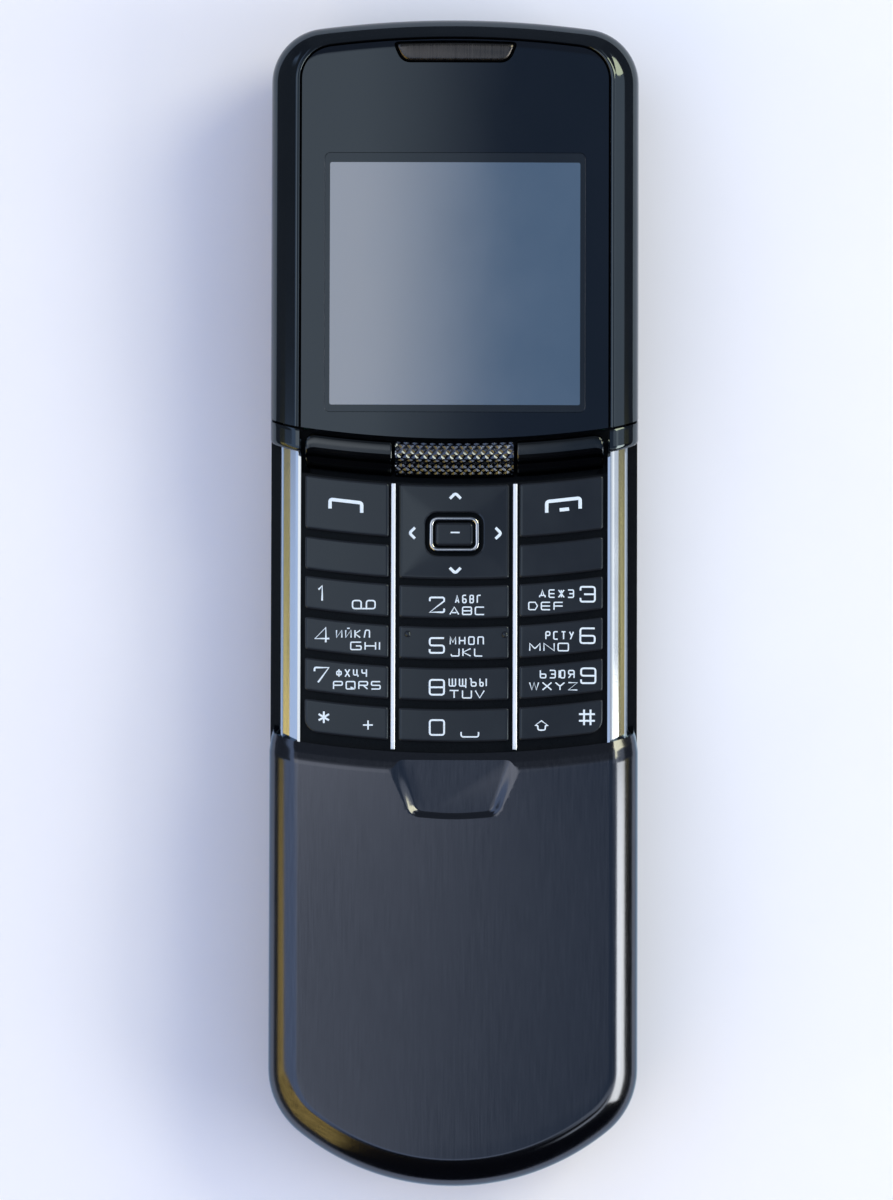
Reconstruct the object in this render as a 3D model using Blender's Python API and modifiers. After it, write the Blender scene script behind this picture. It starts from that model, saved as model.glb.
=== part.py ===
"""A slider phone, lying open on its back.

Units are metres. X runs across the phone, +Y toward the earpiece, +Z up from the table.
The origin is on the table, under the middle of the open phone. Two halves slide on each
other: the handset, with the display and the keys, and the tray, which carries the battery
and the lower front cover.
"""

import math

import bmesh
import bpy
from mathutils import Matrix

MM = 0.001

# The whole phone
WIDTH = 45.0 * MM
THICKNESS = 16.5 * MM
OPEN_LENGTH = 142.5 * MM
FRONT_SHOULDER_IN = 4.2 * MM
BACK_SHOULDER_IN = 6.5 * MM
TOP_ARC_RADIUS = 127.0 * MM
TOP_CORNER_RADIUS = 6.8 * MM
CHIN_ARC_RADIUS = 30.0 * MM
CHIN_CORNER_RADIUS = 9.8 * MM
CORNER_LEFT = 0.3 * MM
FRONT_CROWN = 0.35 * MM
HALF_WIDTH = WIDTH / 2
TOP_Y = OPEN_LENGTH / 2
CHIN_Y = -OPEN_LENGTH / 2
BACK_IN = min(BACK_SHOULDER_IN, TOP_CORNER_RADIUS - CORNER_LEFT)

# Clearances
FIT_GAP = 0.25 * MM
SLIDE_GAP = 0.35 * MM
SEAM_GAP = 0.3 * MM
OVERRUN = 2.0 * MM
MERGE = 0.0001 * MM

# Edges of the front pieces curve across the phone like a shallow smile, and lean back as they drop
SMILE_RADIUS = 129.0 * MM
EDGE_LEAN_SHARE = 0.2

# Handset shells
FRONT_WALL = 0.95 * MM
HOUSING_LENGTH = 51.55 * MM
COLLAR_LENGTH = 3.0 * MM
GLASS_MARGIN = 3.8 * MM
GLASS_TOP_MARGIN = 2.15 * MM
GLASS_CORNER_RADIUS = 4.0 * MM
GLASS_THICKNESS = 1.0 * MM
TOP_CAP_LENGTH = 6.55 * MM
TOP_CAP_WALL = 1.0 * MM
HOUSING_EDGE_Y = TOP_Y - HOUSING_LENGTH
COLLAR_EDGE_Y = HOUSING_EDGE_Y - COLLAR_LENGTH
TOP_CAP_Y = TOP_Y - TOP_CAP_LENGTH
GLASS_HALF_WIDTH = HALF_WIDTH - GLASS_MARGIN
GLASS_TOP_Y = TOP_Y - GLASS_TOP_MARGIN
GLASS_BACK_Z = THICKNESS - GLASS_THICKNESS

# Keypad layers, from the front down to the deck. Together they set the height of the parting line
KEY_UNDER_COVER = 0.35 * MM
KEY_CAP_HEIGHT = 1.0 * MM
KEY_TRAVEL = 0.3 * MM
KEY_TRAVEL_SPARE = 0.1 * MM
FRAME_PLATE = 1.0 * MM
KEY_FOOT_HEIGHT = 0.3 * MM
DOME_HEIGHT = 0.4 * MM
MAT_THICKNESS = 0.5 * MM
BOARD_THICKNESS = 0.9 * MM
BOARD_LIFT = 0.6 * MM
DECK_THICKNESS = 0.75 * MM
KEY_TOP_Z = THICKNESS - FRONT_WALL - KEY_UNDER_COVER
KEY_CAP_Z = KEY_TOP_Z - KEY_CAP_HEIGHT
FRAME_TOP_Z = KEY_CAP_Z - KEY_TRAVEL - KEY_TRAVEL_SPARE
FRAME_UNDER_Z = FRAME_TOP_Z - FRAME_PLATE
KEY_FOOT_Z = FRAME_UNDER_Z - KEY_FOOT_HEIGHT
DOME_TOP_Z = KEY_FOOT_Z - KEY_TRAVEL - KEY_TRAVEL_SPARE
MAT_TOP_Z = DOME_TOP_Z - DOME_HEIGHT
MAT_LOW_Z = MAT_TOP_Z - MAT_THICKNESS
BOARD_TOP_Z = MAT_LOW_Z - FIT_GAP
BOARD_LOW_Z = BOARD_TOP_Z - BOARD_THICKNESS
DECK_TOP_Z = BOARD_LOW_Z - BOARD_LIFT
DECK_LOW_Z = DECK_TOP_Z - DECK_THICKNESS
SEAM_LOW_Z = DECK_LOW_Z - FIT_GAP
SEAM_TOP_Z = SEAM_LOW_Z + SEAM_GAP
PARTING_HEIGHT = (SEAM_LOW_Z + SEAM_TOP_Z) / 2

# Soft keys and grip bar: one rolled section along X, just below the housing
SOFT_KEY_LENGTH = 4.2 * MM
SOFT_KEY_FROM_EDGE = 0.5 * MM
SOFT_KEY_OUT_MARGIN = 0.75 * MM
SOFT_KEY_DROP = 0.45 * MM
GRIP_HALF_WIDTH = 7.3 * MM
GRIP_SIDE_GAP = 0.3 * MM
SOFT_KEY_TOP_Y = HOUSING_EDGE_Y - SOFT_KEY_FROM_EDGE
SOFT_KEY_LOW_Y = SOFT_KEY_TOP_Y - SOFT_KEY_LENGTH
SOFT_KEY_Z = THICKNESS - SOFT_KEY_DROP
# Each point is a share of the bar's length, counted from its far edge, and of its height over the foot
ROLL_SHARES = ((0.0, 0.90), (0.07, 0.97), (0.2, 1.0), (0.42, 0.985), (0.52, 0.94), (0.59, 0.84),
               (0.66, 0.69), (0.80, 0.58), (0.93, 0.42), (1.0, 0.24))

# Rows of keys, from the soft keys down. The navigation key is as long as the rows above the digits
KEYPAD_FROM_SOFT_KEYS = 0.95 * MM
CALL_KEY_LENGTH = 6.55 * MM
KEY_LENGTH = 4.05 * MM
CALL_ROW_GAP = 0.9 * MM
BLANK_ROW_GAP = 0.75 * MM
DIGIT_ROW_GAP = 0.95 * MM
DIGIT_ROWS = 4
KEY_PITCH = KEY_LENGTH + DIGIT_ROW_GAP
KEYPAD_TOP_Y = SOFT_KEY_LOW_Y - KEYPAD_FROM_SOFT_KEYS
BLANK_TOP_Y = KEYPAD_TOP_Y - CALL_KEY_LENGTH - CALL_ROW_GAP
DIGITS_TOP_Y = BLANK_TOP_Y - KEY_LENGTH - BLANK_ROW_GAP
KEYPAD_LOW_Y = DIGITS_TOP_Y - DIGIT_ROWS * KEY_PITCH + DIGIT_ROW_GAP
NAV_LENGTH = KEYPAD_TOP_Y - DIGITS_TOP_Y - BLANK_ROW_GAP

# The sliding half bares the whole keypad, and closes up to the collar
COVER_BEYOND_KEYS = 1.35 * MM
CHASSIS_UNDER_COVER = 3.3 * MM
COVER_EDGE_Y = KEYPAD_LOW_Y - COVER_BEYOND_KEYS
CHASSIS_Y = COVER_EDGE_Y - CHASSIS_UNDER_COVER
STROKE = COLLAR_EDGE_Y - SEAM_GAP - COVER_EDGE_Y

# Earpiece
EARPIECE_HALF_WIDTH = 7.4 * MM
EARPIECE_SLOT_LENGTH = 2.2 * MM
EARPIECE_FROM_TOP = 2.65 * MM
EARPIECE_CHAMFER = 0.5 * MM
SPEAKER_WIDTH = 11.0 * MM
SPEAKER_LENGTH = 5.0 * MM
SPEAKER_HEIGHT = 2.4 * MM
SPEAKER_FROM_TOP = 3.3 * MM

# Tray
TRAY_FLOOR = 1.15 * MM
TRAY_WALL_END_FROM_TOP = 6.85 * MM
COVER_SPLIT_Z = 3.3 * MM
TRAY_TOP_Y = TOP_Y - STROKE
TRAY_WALL_TOP_Y = TRAY_TOP_Y - TRAY_WALL_END_FROM_TOP

# Lower front cover
COVER_BLANK_LENGTH = 10.0 * MM
EDGE_BEVEL_LENGTH = 0.95 * MM
EDGE_BEVEL_DROP = 0.3 * MM
EDGE_SLOPE_LENGTH = 1.4 * MM
EDGE_SLOPE_DROP = 0.2 * MM
THUMB_TOP_HALF = 8.5 * MM
THUMB_LOW_HALF = 5.6 * MM
THUMB_FROM_EDGE = 1.2 * MM
THUMB_LENGTH = 6.6 * MM
THUMB_DEPTH = 0.45 * MM
THUMB_SLOPE = 0.8 * MM

# Chassis and back shell of the handset
BACK_SHELL_LENGTH = 50.4 * MM
BACK_SHELL_WALL = 1.0 * MM
BACK_SHELL_CORNER = 3.0 * MM
KEEL_WALL = 1.2 * MM
CHASSIS_CORNER = 1.0 * MM
BACK_SHELL_TOP_Y = TOP_CAP_Y - FIT_GAP
BACK_SHELL_LOW_Y = BACK_SHELL_TOP_Y - BACK_SHELL_LENGTH
BACK_SHELL_Z = TRAY_FLOOR + SLIDE_GAP
BACK_PARTS_Z = BACK_SHELL_Z + BACK_SHELL_WALL + FIT_GAP
CHASSIS_SIDE = TRAY_FLOOR + SLIDE_GAP

# Slide rails: bars on the tray's walls that run in the handset's side grooves
RAIL_BAR_WIDTH = 0.75 * MM
RAIL_BAR_HEIGHT = 1.1 * MM
RAIL_BAR_LENGTH = 53.0 * MM
RAIL_BAR_Z = SEAM_LOW_Z - SLIDE_GAP - RAIL_BAR_HEIGHT
RAIL_BAR_OUT = HALF_WIDTH - TRAY_FLOOR - FIT_GAP
KEEL_SIDE = HALF_WIDTH - RAIL_BAR_OUT + RAIL_BAR_WIDTH + SLIDE_GAP
KEEL_LOW_Z = RAIL_BAR_Z - SLIDE_GAP + FIT_GAP
BACK_SHELL_RIM_Z = KEEL_LOW_Z - FIT_GAP

# Chrome rails beside the keys
CHROME_BAND = 3.6 * MM
CHROME_GAP = 0.4 * MM
CHROME_IN_X = HALF_WIDTH - CHROME_BAND
CHROME_DEPTH = FRONT_WALL + CHROME_GAP
CHROME_LOW_Z = DECK_TOP_Z + FIT_GAP
CHROME_TOP_Y = HOUSING_EDGE_Y
SOFT_KEY_IN_X = GRIP_HALF_WIDTH + GRIP_SIDE_GAP
SOFT_KEY_OUT_X = CHROME_IN_X - SOFT_KEY_OUT_MARGIN

# Keys, the dividers between their columns, and the frame around them
KEY_ROUND = 0.22 * MM
KEY_STEM_IN = 0.9 * MM
KEY_STEM_GAP = 0.3 * MM
FRAME_WALL = 0.8 * MM
DOME_RADIUS = 1.1 * MM
DIVIDER_X = 7.42 * MM
DIVIDER_WIDTH = 0.5 * MM
DIVIDER_SIDE_GAP = 0.28 * MM
DIVIDER_CENTRE_GAP = 0.47 * MM
DIVIDER_TOP_SPARE = 0.2 * MM
DIVIDER_LOW_SPARE = 0.85 * MM
SIDE_KEY_MARGIN = 0.75 * MM
CORNER_KEY_RADIUS = 1.5 * MM
SIDE_KEY_IN_X = DIVIDER_X + DIVIDER_WIDTH / 2 + DIVIDER_SIDE_GAP
SIDE_KEY_OUT_X = CHROME_IN_X - SIDE_KEY_MARGIN
CENTRE_KEY_X = DIVIDER_X - DIVIDER_WIDTH / 2 - DIVIDER_CENTRE_GAP
FRAME_HALF_WIDTH = CHROME_IN_X - FIT_GAP
DIVIDER_LOW_Y = KEYPAD_LOW_Y - DIVIDER_LOW_SPARE

# Navigation cluster
RING_HALF_WIDTH = 3.05 * MM
RING_LENGTH = 4.4 * MM
RING_WALL = 0.5 * MM
RING_CORNER = 1.0 * MM
RING_GAP = 0.3 * MM
RING_FROM_NAV_TOP = 3.75 * MM
RING_FOOT_HEIGHT = 0.5 * MM
SELECT_RISE = 0.1 * MM
ROCKER_THICKNESS = 0.6 * MM
ROCKER_IN = 1.3 * MM
ROCKER_GAP = 0.3 * MM
NAV_CENTRE_Y = KEYPAD_TOP_Y - RING_FROM_NAV_TOP - RING_LENGTH / 2
ROCKER_LOW_Z = DOME_TOP_Z + ROCKER_GAP
ROCKER_TOP_Z = ROCKER_LOW_Z + ROCKER_THICKNESS
NAV_FOOT_Z = ROCKER_TOP_Z + ROCKER_GAP
SELECT_FOOT_Z = NAV_FOOT_Z + RING_FOOT_HEIGHT

# Display and its frame, each between the housing's edge and the top of the phone
DISPLAY_SIDE = 6.6 * MM
DISPLAY_FROM_EDGE = 3.2 * MM
DISPLAY_FROM_TOP = 16.65 * MM
DISPLAY_THICKNESS = 1.8 * MM
DISPLAY_UNDER_GLASS = 0.6 * MM
DISPLAY_FRAME_HEIGHT = 2.8 * MM
DISPLAY_FRAME_SIDE = 4.2 * MM
DISPLAY_FRAME_FROM_EDGE = 1.5 * MM
DISPLAY_FRAME_FROM_TOP = 10.05 * MM
DISPLAY_LEDGE = 0.8 * MM
DISPLAY_LOW_Y = HOUSING_EDGE_Y + DISPLAY_FROM_EDGE
DISPLAY_HIGH_Y = TOP_Y - DISPLAY_FROM_TOP
DISPLAY_FRAME_LOW_Y = HOUSING_EDGE_Y + DISPLAY_FRAME_FROM_EDGE
DISPLAY_FRAME_HIGH_Y = TOP_Y - DISPLAY_FRAME_FROM_TOP
DISPLAY_TOP_Z = GLASS_BACK_Z - DISPLAY_UNDER_GLASS
DISPLAY_LOW_Z = DISPLAY_TOP_Z - DISPLAY_THICKNESS
DISPLAY_FRAME_LOW_Z = DISPLAY_TOP_Z - DISPLAY_FRAME_HEIGHT

# Main board and its shield can
MAIN_BOARD_THICKNESS = 1.0 * MM
MAIN_BOARD_SIDE = 4.0 * MM
MAIN_BOARD_FROM_TOP = 9.05 * MM
SHIELD_SIDE = 8.5 * MM
SHIELD_FROM_BOARD_END = 4.0 * MM
SHIELD_FROM_TOP = 22.05 * MM

# Parts on the floor of the back shell. Each stays its headroom below the deck
CAMERA_RADIUS = 3.8 * MM
CAMERA_LENS_RADIUS = 3.1 * MM
CAMERA_HEADROOM = 2.35 * MM
CAMERA_FROM_TOP = 17.3 * MM
CAMERA_CHAMFER = 0.3 * MM
LOUDSPEAKER_SIDE = 5.5 * MM
LOUDSPEAKER_FROM_MIDDLE = 2.0 * MM
LOUDSPEAKER_LENGTH = 10.0 * MM
LOUDSPEAKER_HEADROOM = 2.55 * MM
LOUDSPEAKER_CORNER = 3.0 * MM
LOUDSPEAKER_FROM_TOP = 27.0 * MM
SOUND_SLOT_WIDTH = 0.8 * MM
SOUND_SLOT_LENGTH = 5.0 * MM
SOUND_SLOT_PITCH = 1.9 * MM
SOUND_SLOTS = 4
MOTOR_SIDE = 7.5 * MM
MOTOR_FROM_MIDDLE = 5.0 * MM
MOTOR_HEADROOM = 2.15 * MM
MOTOR_FROM_TOP = 27.0 * MM
ANTENNA_SIDE = 7.5 * MM
ANTENNA_LENGTH = 4.6 * MM
ANTENNA_HEADROOM = 2.75 * MM
LOUDSPEAKER_OUT_X = HALF_WIDTH - LOUDSPEAKER_SIDE
LOUDSPEAKER_X = -(LOUDSPEAKER_OUT_X + LOUDSPEAKER_FROM_MIDDLE) / 2

# Power key in the top end
POWER_HALF_WIDTH = 4.0 * MM
POWER_HEIGHT = 2.0 * MM
POWER_DEPTH = 2.6 * MM
POWER_BELOW_PARTING = 2.1 * MM
POWER_FLUSH = 0.1 * MM
POWER_FLANGE = 0.5 * MM
POWER_FLANGE_THICKNESS = 0.6 * MM
POWER_Z = PARTING_HEIGHT - POWER_BELOW_PARTING

# Battery and its bay. The bay starts clear of the back shell when the phone is closed
BATTERY_SIDE = 5.5 * MM
BATTERY_FROM_CHIN = 14.5 * MM
BATTERY_ROUND = 0.8 * MM
BATTERY_DECK = 0.5 * MM
BAY_FROM_SHELL = 5.05 * MM
BAY_FROM_CHIN = 8.45 * MM
BAY_WALL = 0.9 * MM
BAY_SIDE = 0.6 * MM
SIM_WIDTH = 16.0 * MM
SIM_MARGIN = 2.5 * MM
SIM_THICKNESS = 0.6 * MM
SIM_UNDER_DECK = 0.3 * MM
BAY_TOP_Y = BACK_SHELL_LOW_Y - STROKE - BAY_FROM_SHELL
BAY_LOW_Y = CHIN_Y + BAY_FROM_CHIN
BATTERY_DECK_Z = KEEL_LOW_Z - SLIDE_GAP - BATTERY_DECK
SIM_Z = BATTERY_DECK_Z - SIM_UNDER_DECK - SIM_THICKNESS
BATTERY_Z = TRAY_FLOOR + FIT_GAP
BATTERY_TOP_Z = SIM_Z - FIT_GAP
BATTERY_TOP_Y = BAY_TOP_Y - FIT_GAP
BATTERY_LOW_Y = CHIN_Y + BATTERY_FROM_CHIN

# Release button in the tray's floor, above the battery cover
RELEASE_HALF_WIDTH = 3.2 * MM
RELEASE_LENGTH = 2.6 * MM
RELEASE_THICKNESS = 0.9 * MM
RELEASE_FROM_BAY = 2.6 * MM
RELEASE_FLUSH = 0.15 * MM
RELEASE_Y = BAY_TOP_Y + RELEASE_FROM_BAY

# Socket and microphone in the chin
SOCKET_X = -8.0 * MM
SOCKET_RADIUS = 1.7 * MM
SOCKET_BORE_RADIUS = 1.0 * MM
SOCKET_LENGTH = 3.8 * MM
SOCKET_BELOW_PARTING = 2.6 * MM
SOCKET_BORE_LENGTH = 3.0 * MM
SOCKET_Z = PARTING_HEIGHT - SOCKET_BELOW_PARTING
MICROPHONE_X = 8.0 * MM
MICROPHONE_RADIUS = 1.5 * MM
MICROPHONE_LENGTH = 1.6 * MM
MICROPHONE_HOLE_RADIUS = 0.4 * MM

# Facets
SHOULDER_STEPS = 7
CORNER_STEPS = 6
END_STEPS = 5
SMILE_STEPS = 10
KEY_EDGE_STEPS = 3
CROWN_STRIPS = 8
ROUND_SIDES = 24
DOME_SIDES = 8


def clear_scene():
    for old in list(bpy.data.objects):
        bpy.data.objects.remove(old, do_unlink=True)


def new_collection(name):
    collection = bpy.data.collections.new(name)
    bpy.context.scene.collection.children.link(collection)
    return collection


clear_scene()
PARTS = new_collection("slider_phone")
CUTTERS = new_collection("cutters")


def new_material(name, colour, roughness, metallic):
    """A Principled material from a linear colour."""
    made = bpy.data.materials.new(name)
    made.use_nodes = True
    shader = made.node_tree.nodes["Principled BSDF"]
    shader.inputs["Base Color"].default_value = (*colour, 1.0)
    shader.inputs["Roughness"].default_value = roughness
    shader.inputs["Metallic"].default_value = metallic
    return made


BLACK_METAL = new_material("polished black metal", (0.020, 0.022, 0.028), 0.18, 0.9)
BRUSHED_METAL = new_material("brushed dark metal", (0.046, 0.054, 0.074), 0.32, 0.9)
CHROME = new_material("chrome", (0.60, 0.66, 0.70), 0.12, 1.0)
BLACK_GLASS = new_material("black glass", (0.012, 0.014, 0.020), 0.06, 0.0)
SCREEN = new_material("display panel", (0.12, 0.17, 0.24), 0.30, 0.0)
KEY_PLASTIC = new_material("key plastic", (0.030, 0.034, 0.044), 0.30, 0.0)
DARK_PLASTIC = new_material("dark plastic", (0.016, 0.018, 0.024), 0.50, 0.0)
RUBBER = new_material("keymat rubber", (0.035, 0.035, 0.038), 0.80, 0.0)
BOARD_GREEN = new_material("circuit board", (0.02, 0.12, 0.06), 0.55, 0.0)
SHIELD_TIN = new_material("tinned steel", (0.50, 0.50, 0.48), 0.35, 0.9)
MAGNESIUM = new_material("magnesium casting", (0.22, 0.22, 0.23), 0.50, 0.7)
BATTERY_SKIN = new_material("battery wrap", (0.06, 0.06, 0.07), 0.45, 0.0)


def empty(name):
    made = bpy.data.objects.new(name, None)
    PARTS.objects.link(made)
    return made


HANDSET = empty("handset")
SLIDER = empty("slider")


def add_part(name, bm, surface, group):
    """A named sub-part from a mesh in world coordinates, carried by one of the two halves."""
    mesh = bpy.data.meshes.new(name)
    bm.to_mesh(mesh)
    bm.free()
    mesh.materials.append(surface)
    made = bpy.data.objects.new(name, mesh)
    made.parent = group
    PARTS.objects.link(made)
    return made


def add_cutter(name, bm):
    bmesh.ops.recalc_face_normals(bm, faces=bm.faces)
    mesh = bpy.data.meshes.new(name)
    bm.to_mesh(mesh)
    bm.free()
    made = bpy.data.objects.new(name, mesh)
    made.hide_render = True
    made.display_type = "WIRE"
    CUTTERS.objects.link(made)
    return made


def combine(made, tool, operation):
    boolean = made.modifiers.new(f"{operation.lower()} {tool.name}", "BOOLEAN")
    boolean.operation = operation
    boolean.solver = "EXACT"
    boolean.object = tool


def cut(made, *cutters):
    for cutter in cutters:
        combine(made, cutter, "DIFFERENCE")


def thicken(made, wall):
    """Turns an open skin whose faces point out into a shell, inward."""
    solidify = made.modifiers.new("wall", "SOLIDIFY")
    solidify.thickness = wall
    solidify.offset = -1
    solidify.use_even_offset = True
    solidify.use_quality_normals = True


def move_origin(made, x, y, z):
    """Puts an object's origin on its joint's axis and leaves its mesh where it is."""
    made.data.transform(Matrix.Translation((-x, -y, -z)))
    made.location = (x, y, z)


def smile(x):
    """How far the curved edges rise toward the sides."""
    return SMILE_RADIUS - math.sqrt(SMILE_RADIUS * SMILE_RADIUS - x * x)


def crown_drop(x, z):
    """How far the gently crowned front lies under its middle height."""
    rise = (z - PARTING_HEIGHT) / (THICKNESS - PARTING_HEIGHT)
    return FRONT_CROWN * (x / HALF_WIDTH) ** 2 * max(0.0, min(1.0, rise))


def crown(bm):
    """Cuts a front piece into strips along Y and lowers them to the crown of the front."""
    for strip in range(1, CROWN_STRIPS):
        x = -HALF_WIDTH + WIDTH * strip / CROWN_STRIPS
        geometry = bm.verts[:] + bm.edges[:] + bm.faces[:]
        bmesh.ops.bisect_plane(bm, geom=geometry, dist=MERGE, plane_co=(x, 0, 0), plane_no=(1, 0, 0))
    for vert in bm.verts:
        vert.co.z -= crown_drop(vert.co.x, vert.co.z)


def arc(centre_x, centre_y, radius, start, stop, steps):
    points = []
    for step in range(steps + 1):
        angle = start + (stop - start) * step / steps
        points.append((centre_x + radius * math.cos(angle), centre_y + radius * math.sin(angle)))
    return points


def both_sides(half):
    """An end's points from the +X side over the middle to the -X side, from the +X half."""
    return half + [(-x, y) for x, y in reversed(half)]


def round_end(reach, arc_radius, corner_radius, inset):
    """The end of the phone: a corner arc that runs into a wide arc, drawn in by an inset."""
    corner_x = HALF_WIDTH - corner_radius
    arc_centre = reach - arc_radius
    rise = math.sqrt((arc_radius - corner_radius) ** 2 - corner_x ** 2)
    join = math.atan2(rise, corner_x)
    half = arc(corner_x, arc_centre + rise, corner_radius - inset, 0, join, CORNER_STEPS)
    half += arc(0, arc_centre, arc_radius - inset, join, math.pi / 2, END_STEPS)[1:-1]
    middle = [(0, reach - inset)]
    return half + middle + [(-x, y) for x, y in reversed(half)]


def square_end(reach, corner_radius, inset):
    """A straight end with rounded corners. Only its sides are drawn in."""
    corner_x = HALF_WIDTH - inset - corner_radius
    return both_sides(arc(corner_x, reach - corner_radius, corner_radius, 0, math.pi / 2, CORNER_STEPS))


def top_end(reach):
    return lambda inset: round_end(reach, TOP_ARC_RADIUS, TOP_CORNER_RADIUS, inset)


def chin_end(reach):
    return lambda inset: round_end(-reach, CHIN_ARC_RADIUS, CHIN_CORNER_RADIUS, inset)


def flat_end(reach, corner_radius):
    return lambda inset: square_end(reach, corner_radius, inset)


def outline(far_end, near_end, inset):
    """A closed outline, counterclockwise from above. The near end is drawn as if it faced +Y."""
    return far_end(inset) + [(-x, -y) for x, y in near_end(inset)]


def ring_stack(bm, rings, close_first=True, close_last=True):
    """Joins rings of equal count, each counterclockwise around the way they are stacked."""
    made = [[bm.verts.new(point) for point in ring] for ring in rings]
    for low, high in zip(made, made[1:]):
        count = len(low)
        for index in range(count):
            following = (index + 1) % count
            bm.faces.new((low[index], low[following], high[following], high[index]))
    if close_first:
        bm.faces.new(reversed(made[0]))
    if close_last:
        bm.faces.new(made[-1])


def stacked(outlines_and_heights, close_first=True, close_last=True):
    bm = bmesh.new()
    rings = [[(x, y, z) for x, y in points] for points, z in outlines_and_heights]
    ring_stack(bm, rings, close_first, close_last)
    return bm


def plate(points, low, high):
    """A flat piece with this outline."""
    return stacked([(points, low), (points, high)])


def front_skin(far_end, near_end):
    """The outer skin of a front piece: up the curved shoulder from the parting line, and across."""
    height = THICKNESS - PARTING_HEIGHT
    start = math.asin((SEAM_TOP_Z - PARTING_HEIGHT) / height)
    levels = []
    for step in range(SHOULDER_STEPS + 1):
        angle = start + (math.pi / 2 - start) * step / SHOULDER_STEPS
        inset = FRONT_SHOULDER_IN * (1 - math.cos(angle))
        levels.append((outline(far_end, near_end, inset), PARTING_HEIGHT + height * math.sin(angle)))
    bm = stacked(levels, close_first=False)
    crown(bm)
    return bm


def back_skin(far_end, near_end, depth, floor, rim):
    """A tub's outer skin: from its flat floor up the curved back shoulder to its open rim.

    The depth is how far inside the phone's own skin it lies at the sides."""
    height = PARTING_HEIGHT - floor
    stop = math.asin((PARTING_HEIGHT - rim) / height)
    levels = []
    for step in range(SHOULDER_STEPS + 1):
        angle = math.pi / 2 + (stop - math.pi / 2) * step / SHOULDER_STEPS
        inset = depth + (BACK_IN - depth) * (1 - math.cos(angle))
        levels.append((outline(far_end, near_end, inset), PARTING_HEIGHT - height * math.sin(angle)))
    return stacked(levels, close_last=False)


def box(low_x, high_x, low_y, high_y, low_z, high_z):
    """A box from a unit cube."""
    bm = bmesh.new()
    bmesh.ops.create_cube(bm, size=1)
    size = (high_x - low_x, high_y - low_y, high_z - low_z)
    middle = ((low_x + high_x) / 2, (low_y + high_y) / 2, (low_z + high_z) / 2)
    bmesh.ops.scale(bm, vec=size, verts=bm.verts)
    bmesh.ops.translate(bm, vec=middle, verts=bm.verts)
    return bm


def cylinder(radius, length, turn, middle, sides=ROUND_SIDES):
    """A cylinder along Z, turned by a matrix and moved to its middle."""
    bm = bmesh.new()
    bmesh.ops.create_cone(bm, cap_ends=True, segments=sides, radius1=radius, radius2=radius, depth=length)
    bmesh.ops.transform(bm, matrix=turn, verts=bm.verts)
    bmesh.ops.translate(bm, vec=middle, verts=bm.verts)
    return bm


UPRIGHT = Matrix.Identity(4)
ALONG_X = Matrix.Rotation(math.pi / 2, 4, "Y")
ALONG_Y = Matrix.Rotation(math.pi / 2, 4, "X")


def smile_patch(low_x, high_x, low_y, high_y, steps=KEY_EDGE_STEPS):
    """An outline between two smile curves, whose heights are given for the middle of the phone."""
    across = [low_x + (high_x - low_x) * step / steps for step in range(steps + 1)]
    lower = [(x, low_y + smile(x)) for x in across]
    upper = [(x, high_y + smile(x)) for x in reversed(across)]
    return lower + upper


def leaning_slab(low_x, high_x, low_y, high_y, low_z, high_z):
    """A slab between two smile curves that leans toward +Y as it drops."""
    bm = plate(smile_patch(low_x, high_x, low_y, high_y, SMILE_STEPS), low_z, high_z)
    for vert in bm.verts:
        vert.co.y += EDGE_LEAN_SHARE * (THICKNESS - vert.co.z)
    return bm


def bar_across(section, low_x, high_x, steps):
    """A bar along X whose section is given as (y, z), bent to the smile and to the crown."""
    rings = []
    for step in range(steps + 1):
        x = low_x + (high_x - low_x) * step / steps
        rings.append([(x, y + smile(x), z - crown_drop(x, z)) for y, z in section])
    bm = bmesh.new()
    ring_stack(bm, rings)
    bmesh.ops.recalc_face_normals(bm, faces=bm.faces)
    return bm


def rounded_rectangle(half_x, half_y, corner, centre_x=0, centre_y=0):
    quarter = math.pi / 2
    points = []
    for turn, (side_x, side_y) in enumerate(((1, 1), (-1, 1), (-1, -1), (1, -1))):
        corner_x = centre_x + side_x * (half_x - corner)
        corner_y = centre_y + side_y * (half_y - corner)
        points += arc(corner_x, corner_y, corner, turn * quarter, (turn + 1) * quarter, KEY_EDGE_STEPS)
    return points


def make_upper_housing():
    housing = add_part("upper_housing", front_skin(top_end(TOP_Y), flat_end(-COLLAR_EDGE_Y, CHASSIS_CORNER)),
                       BLACK_METAL, HANDSET)
    thicken(housing, FRONT_WALL)
    below = leaning_slab(-WIDTH, WIDTH, HOUSING_EDGE_Y - WIDTH, HOUSING_EDGE_Y, 0, THICKNESS + OVERRUN)
    opening = plate(glass_outline(FIT_GAP, HOUSING_EDGE_Y - OVERRUN), PARTING_HEIGHT + OVERRUN,
                    THICKNESS + OVERRUN)
    cut(housing, add_cutter("below_housing_edge", below), add_cutter("glass_opening", opening))


def glass_outline(margin, low_y):
    """The bezel glass, grown by a margin, from a smile curve up to its arched top."""
    half = GLASS_HALF_WIDTH + margin
    corner = GLASS_CORNER_RADIUS + margin
    arc_radius = TOP_ARC_RADIUS - GLASS_TOP_MARGIN + margin
    arc_centre = GLASS_TOP_Y + margin - arc_radius
    corner_x = half - corner
    rise = math.sqrt((arc_radius - corner) ** 2 - corner_x ** 2)
    join = math.atan2(rise, corner_x)
    top = arc(corner_x, arc_centre + rise, corner, 0, join, CORNER_STEPS)
    top += arc(0, arc_centre, arc_radius, join, math.pi / 2, END_STEPS)[1:-1]
    middle = [(0, arc_centre + arc_radius)]
    across = [half - 2 * half * step / SMILE_STEPS for step in range(SMILE_STEPS + 1)]
    lower = [(-x, low_y + smile(x)) for x in across]
    return lower + top + middle + [(-x, y) for x, y in reversed(top)]


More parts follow.
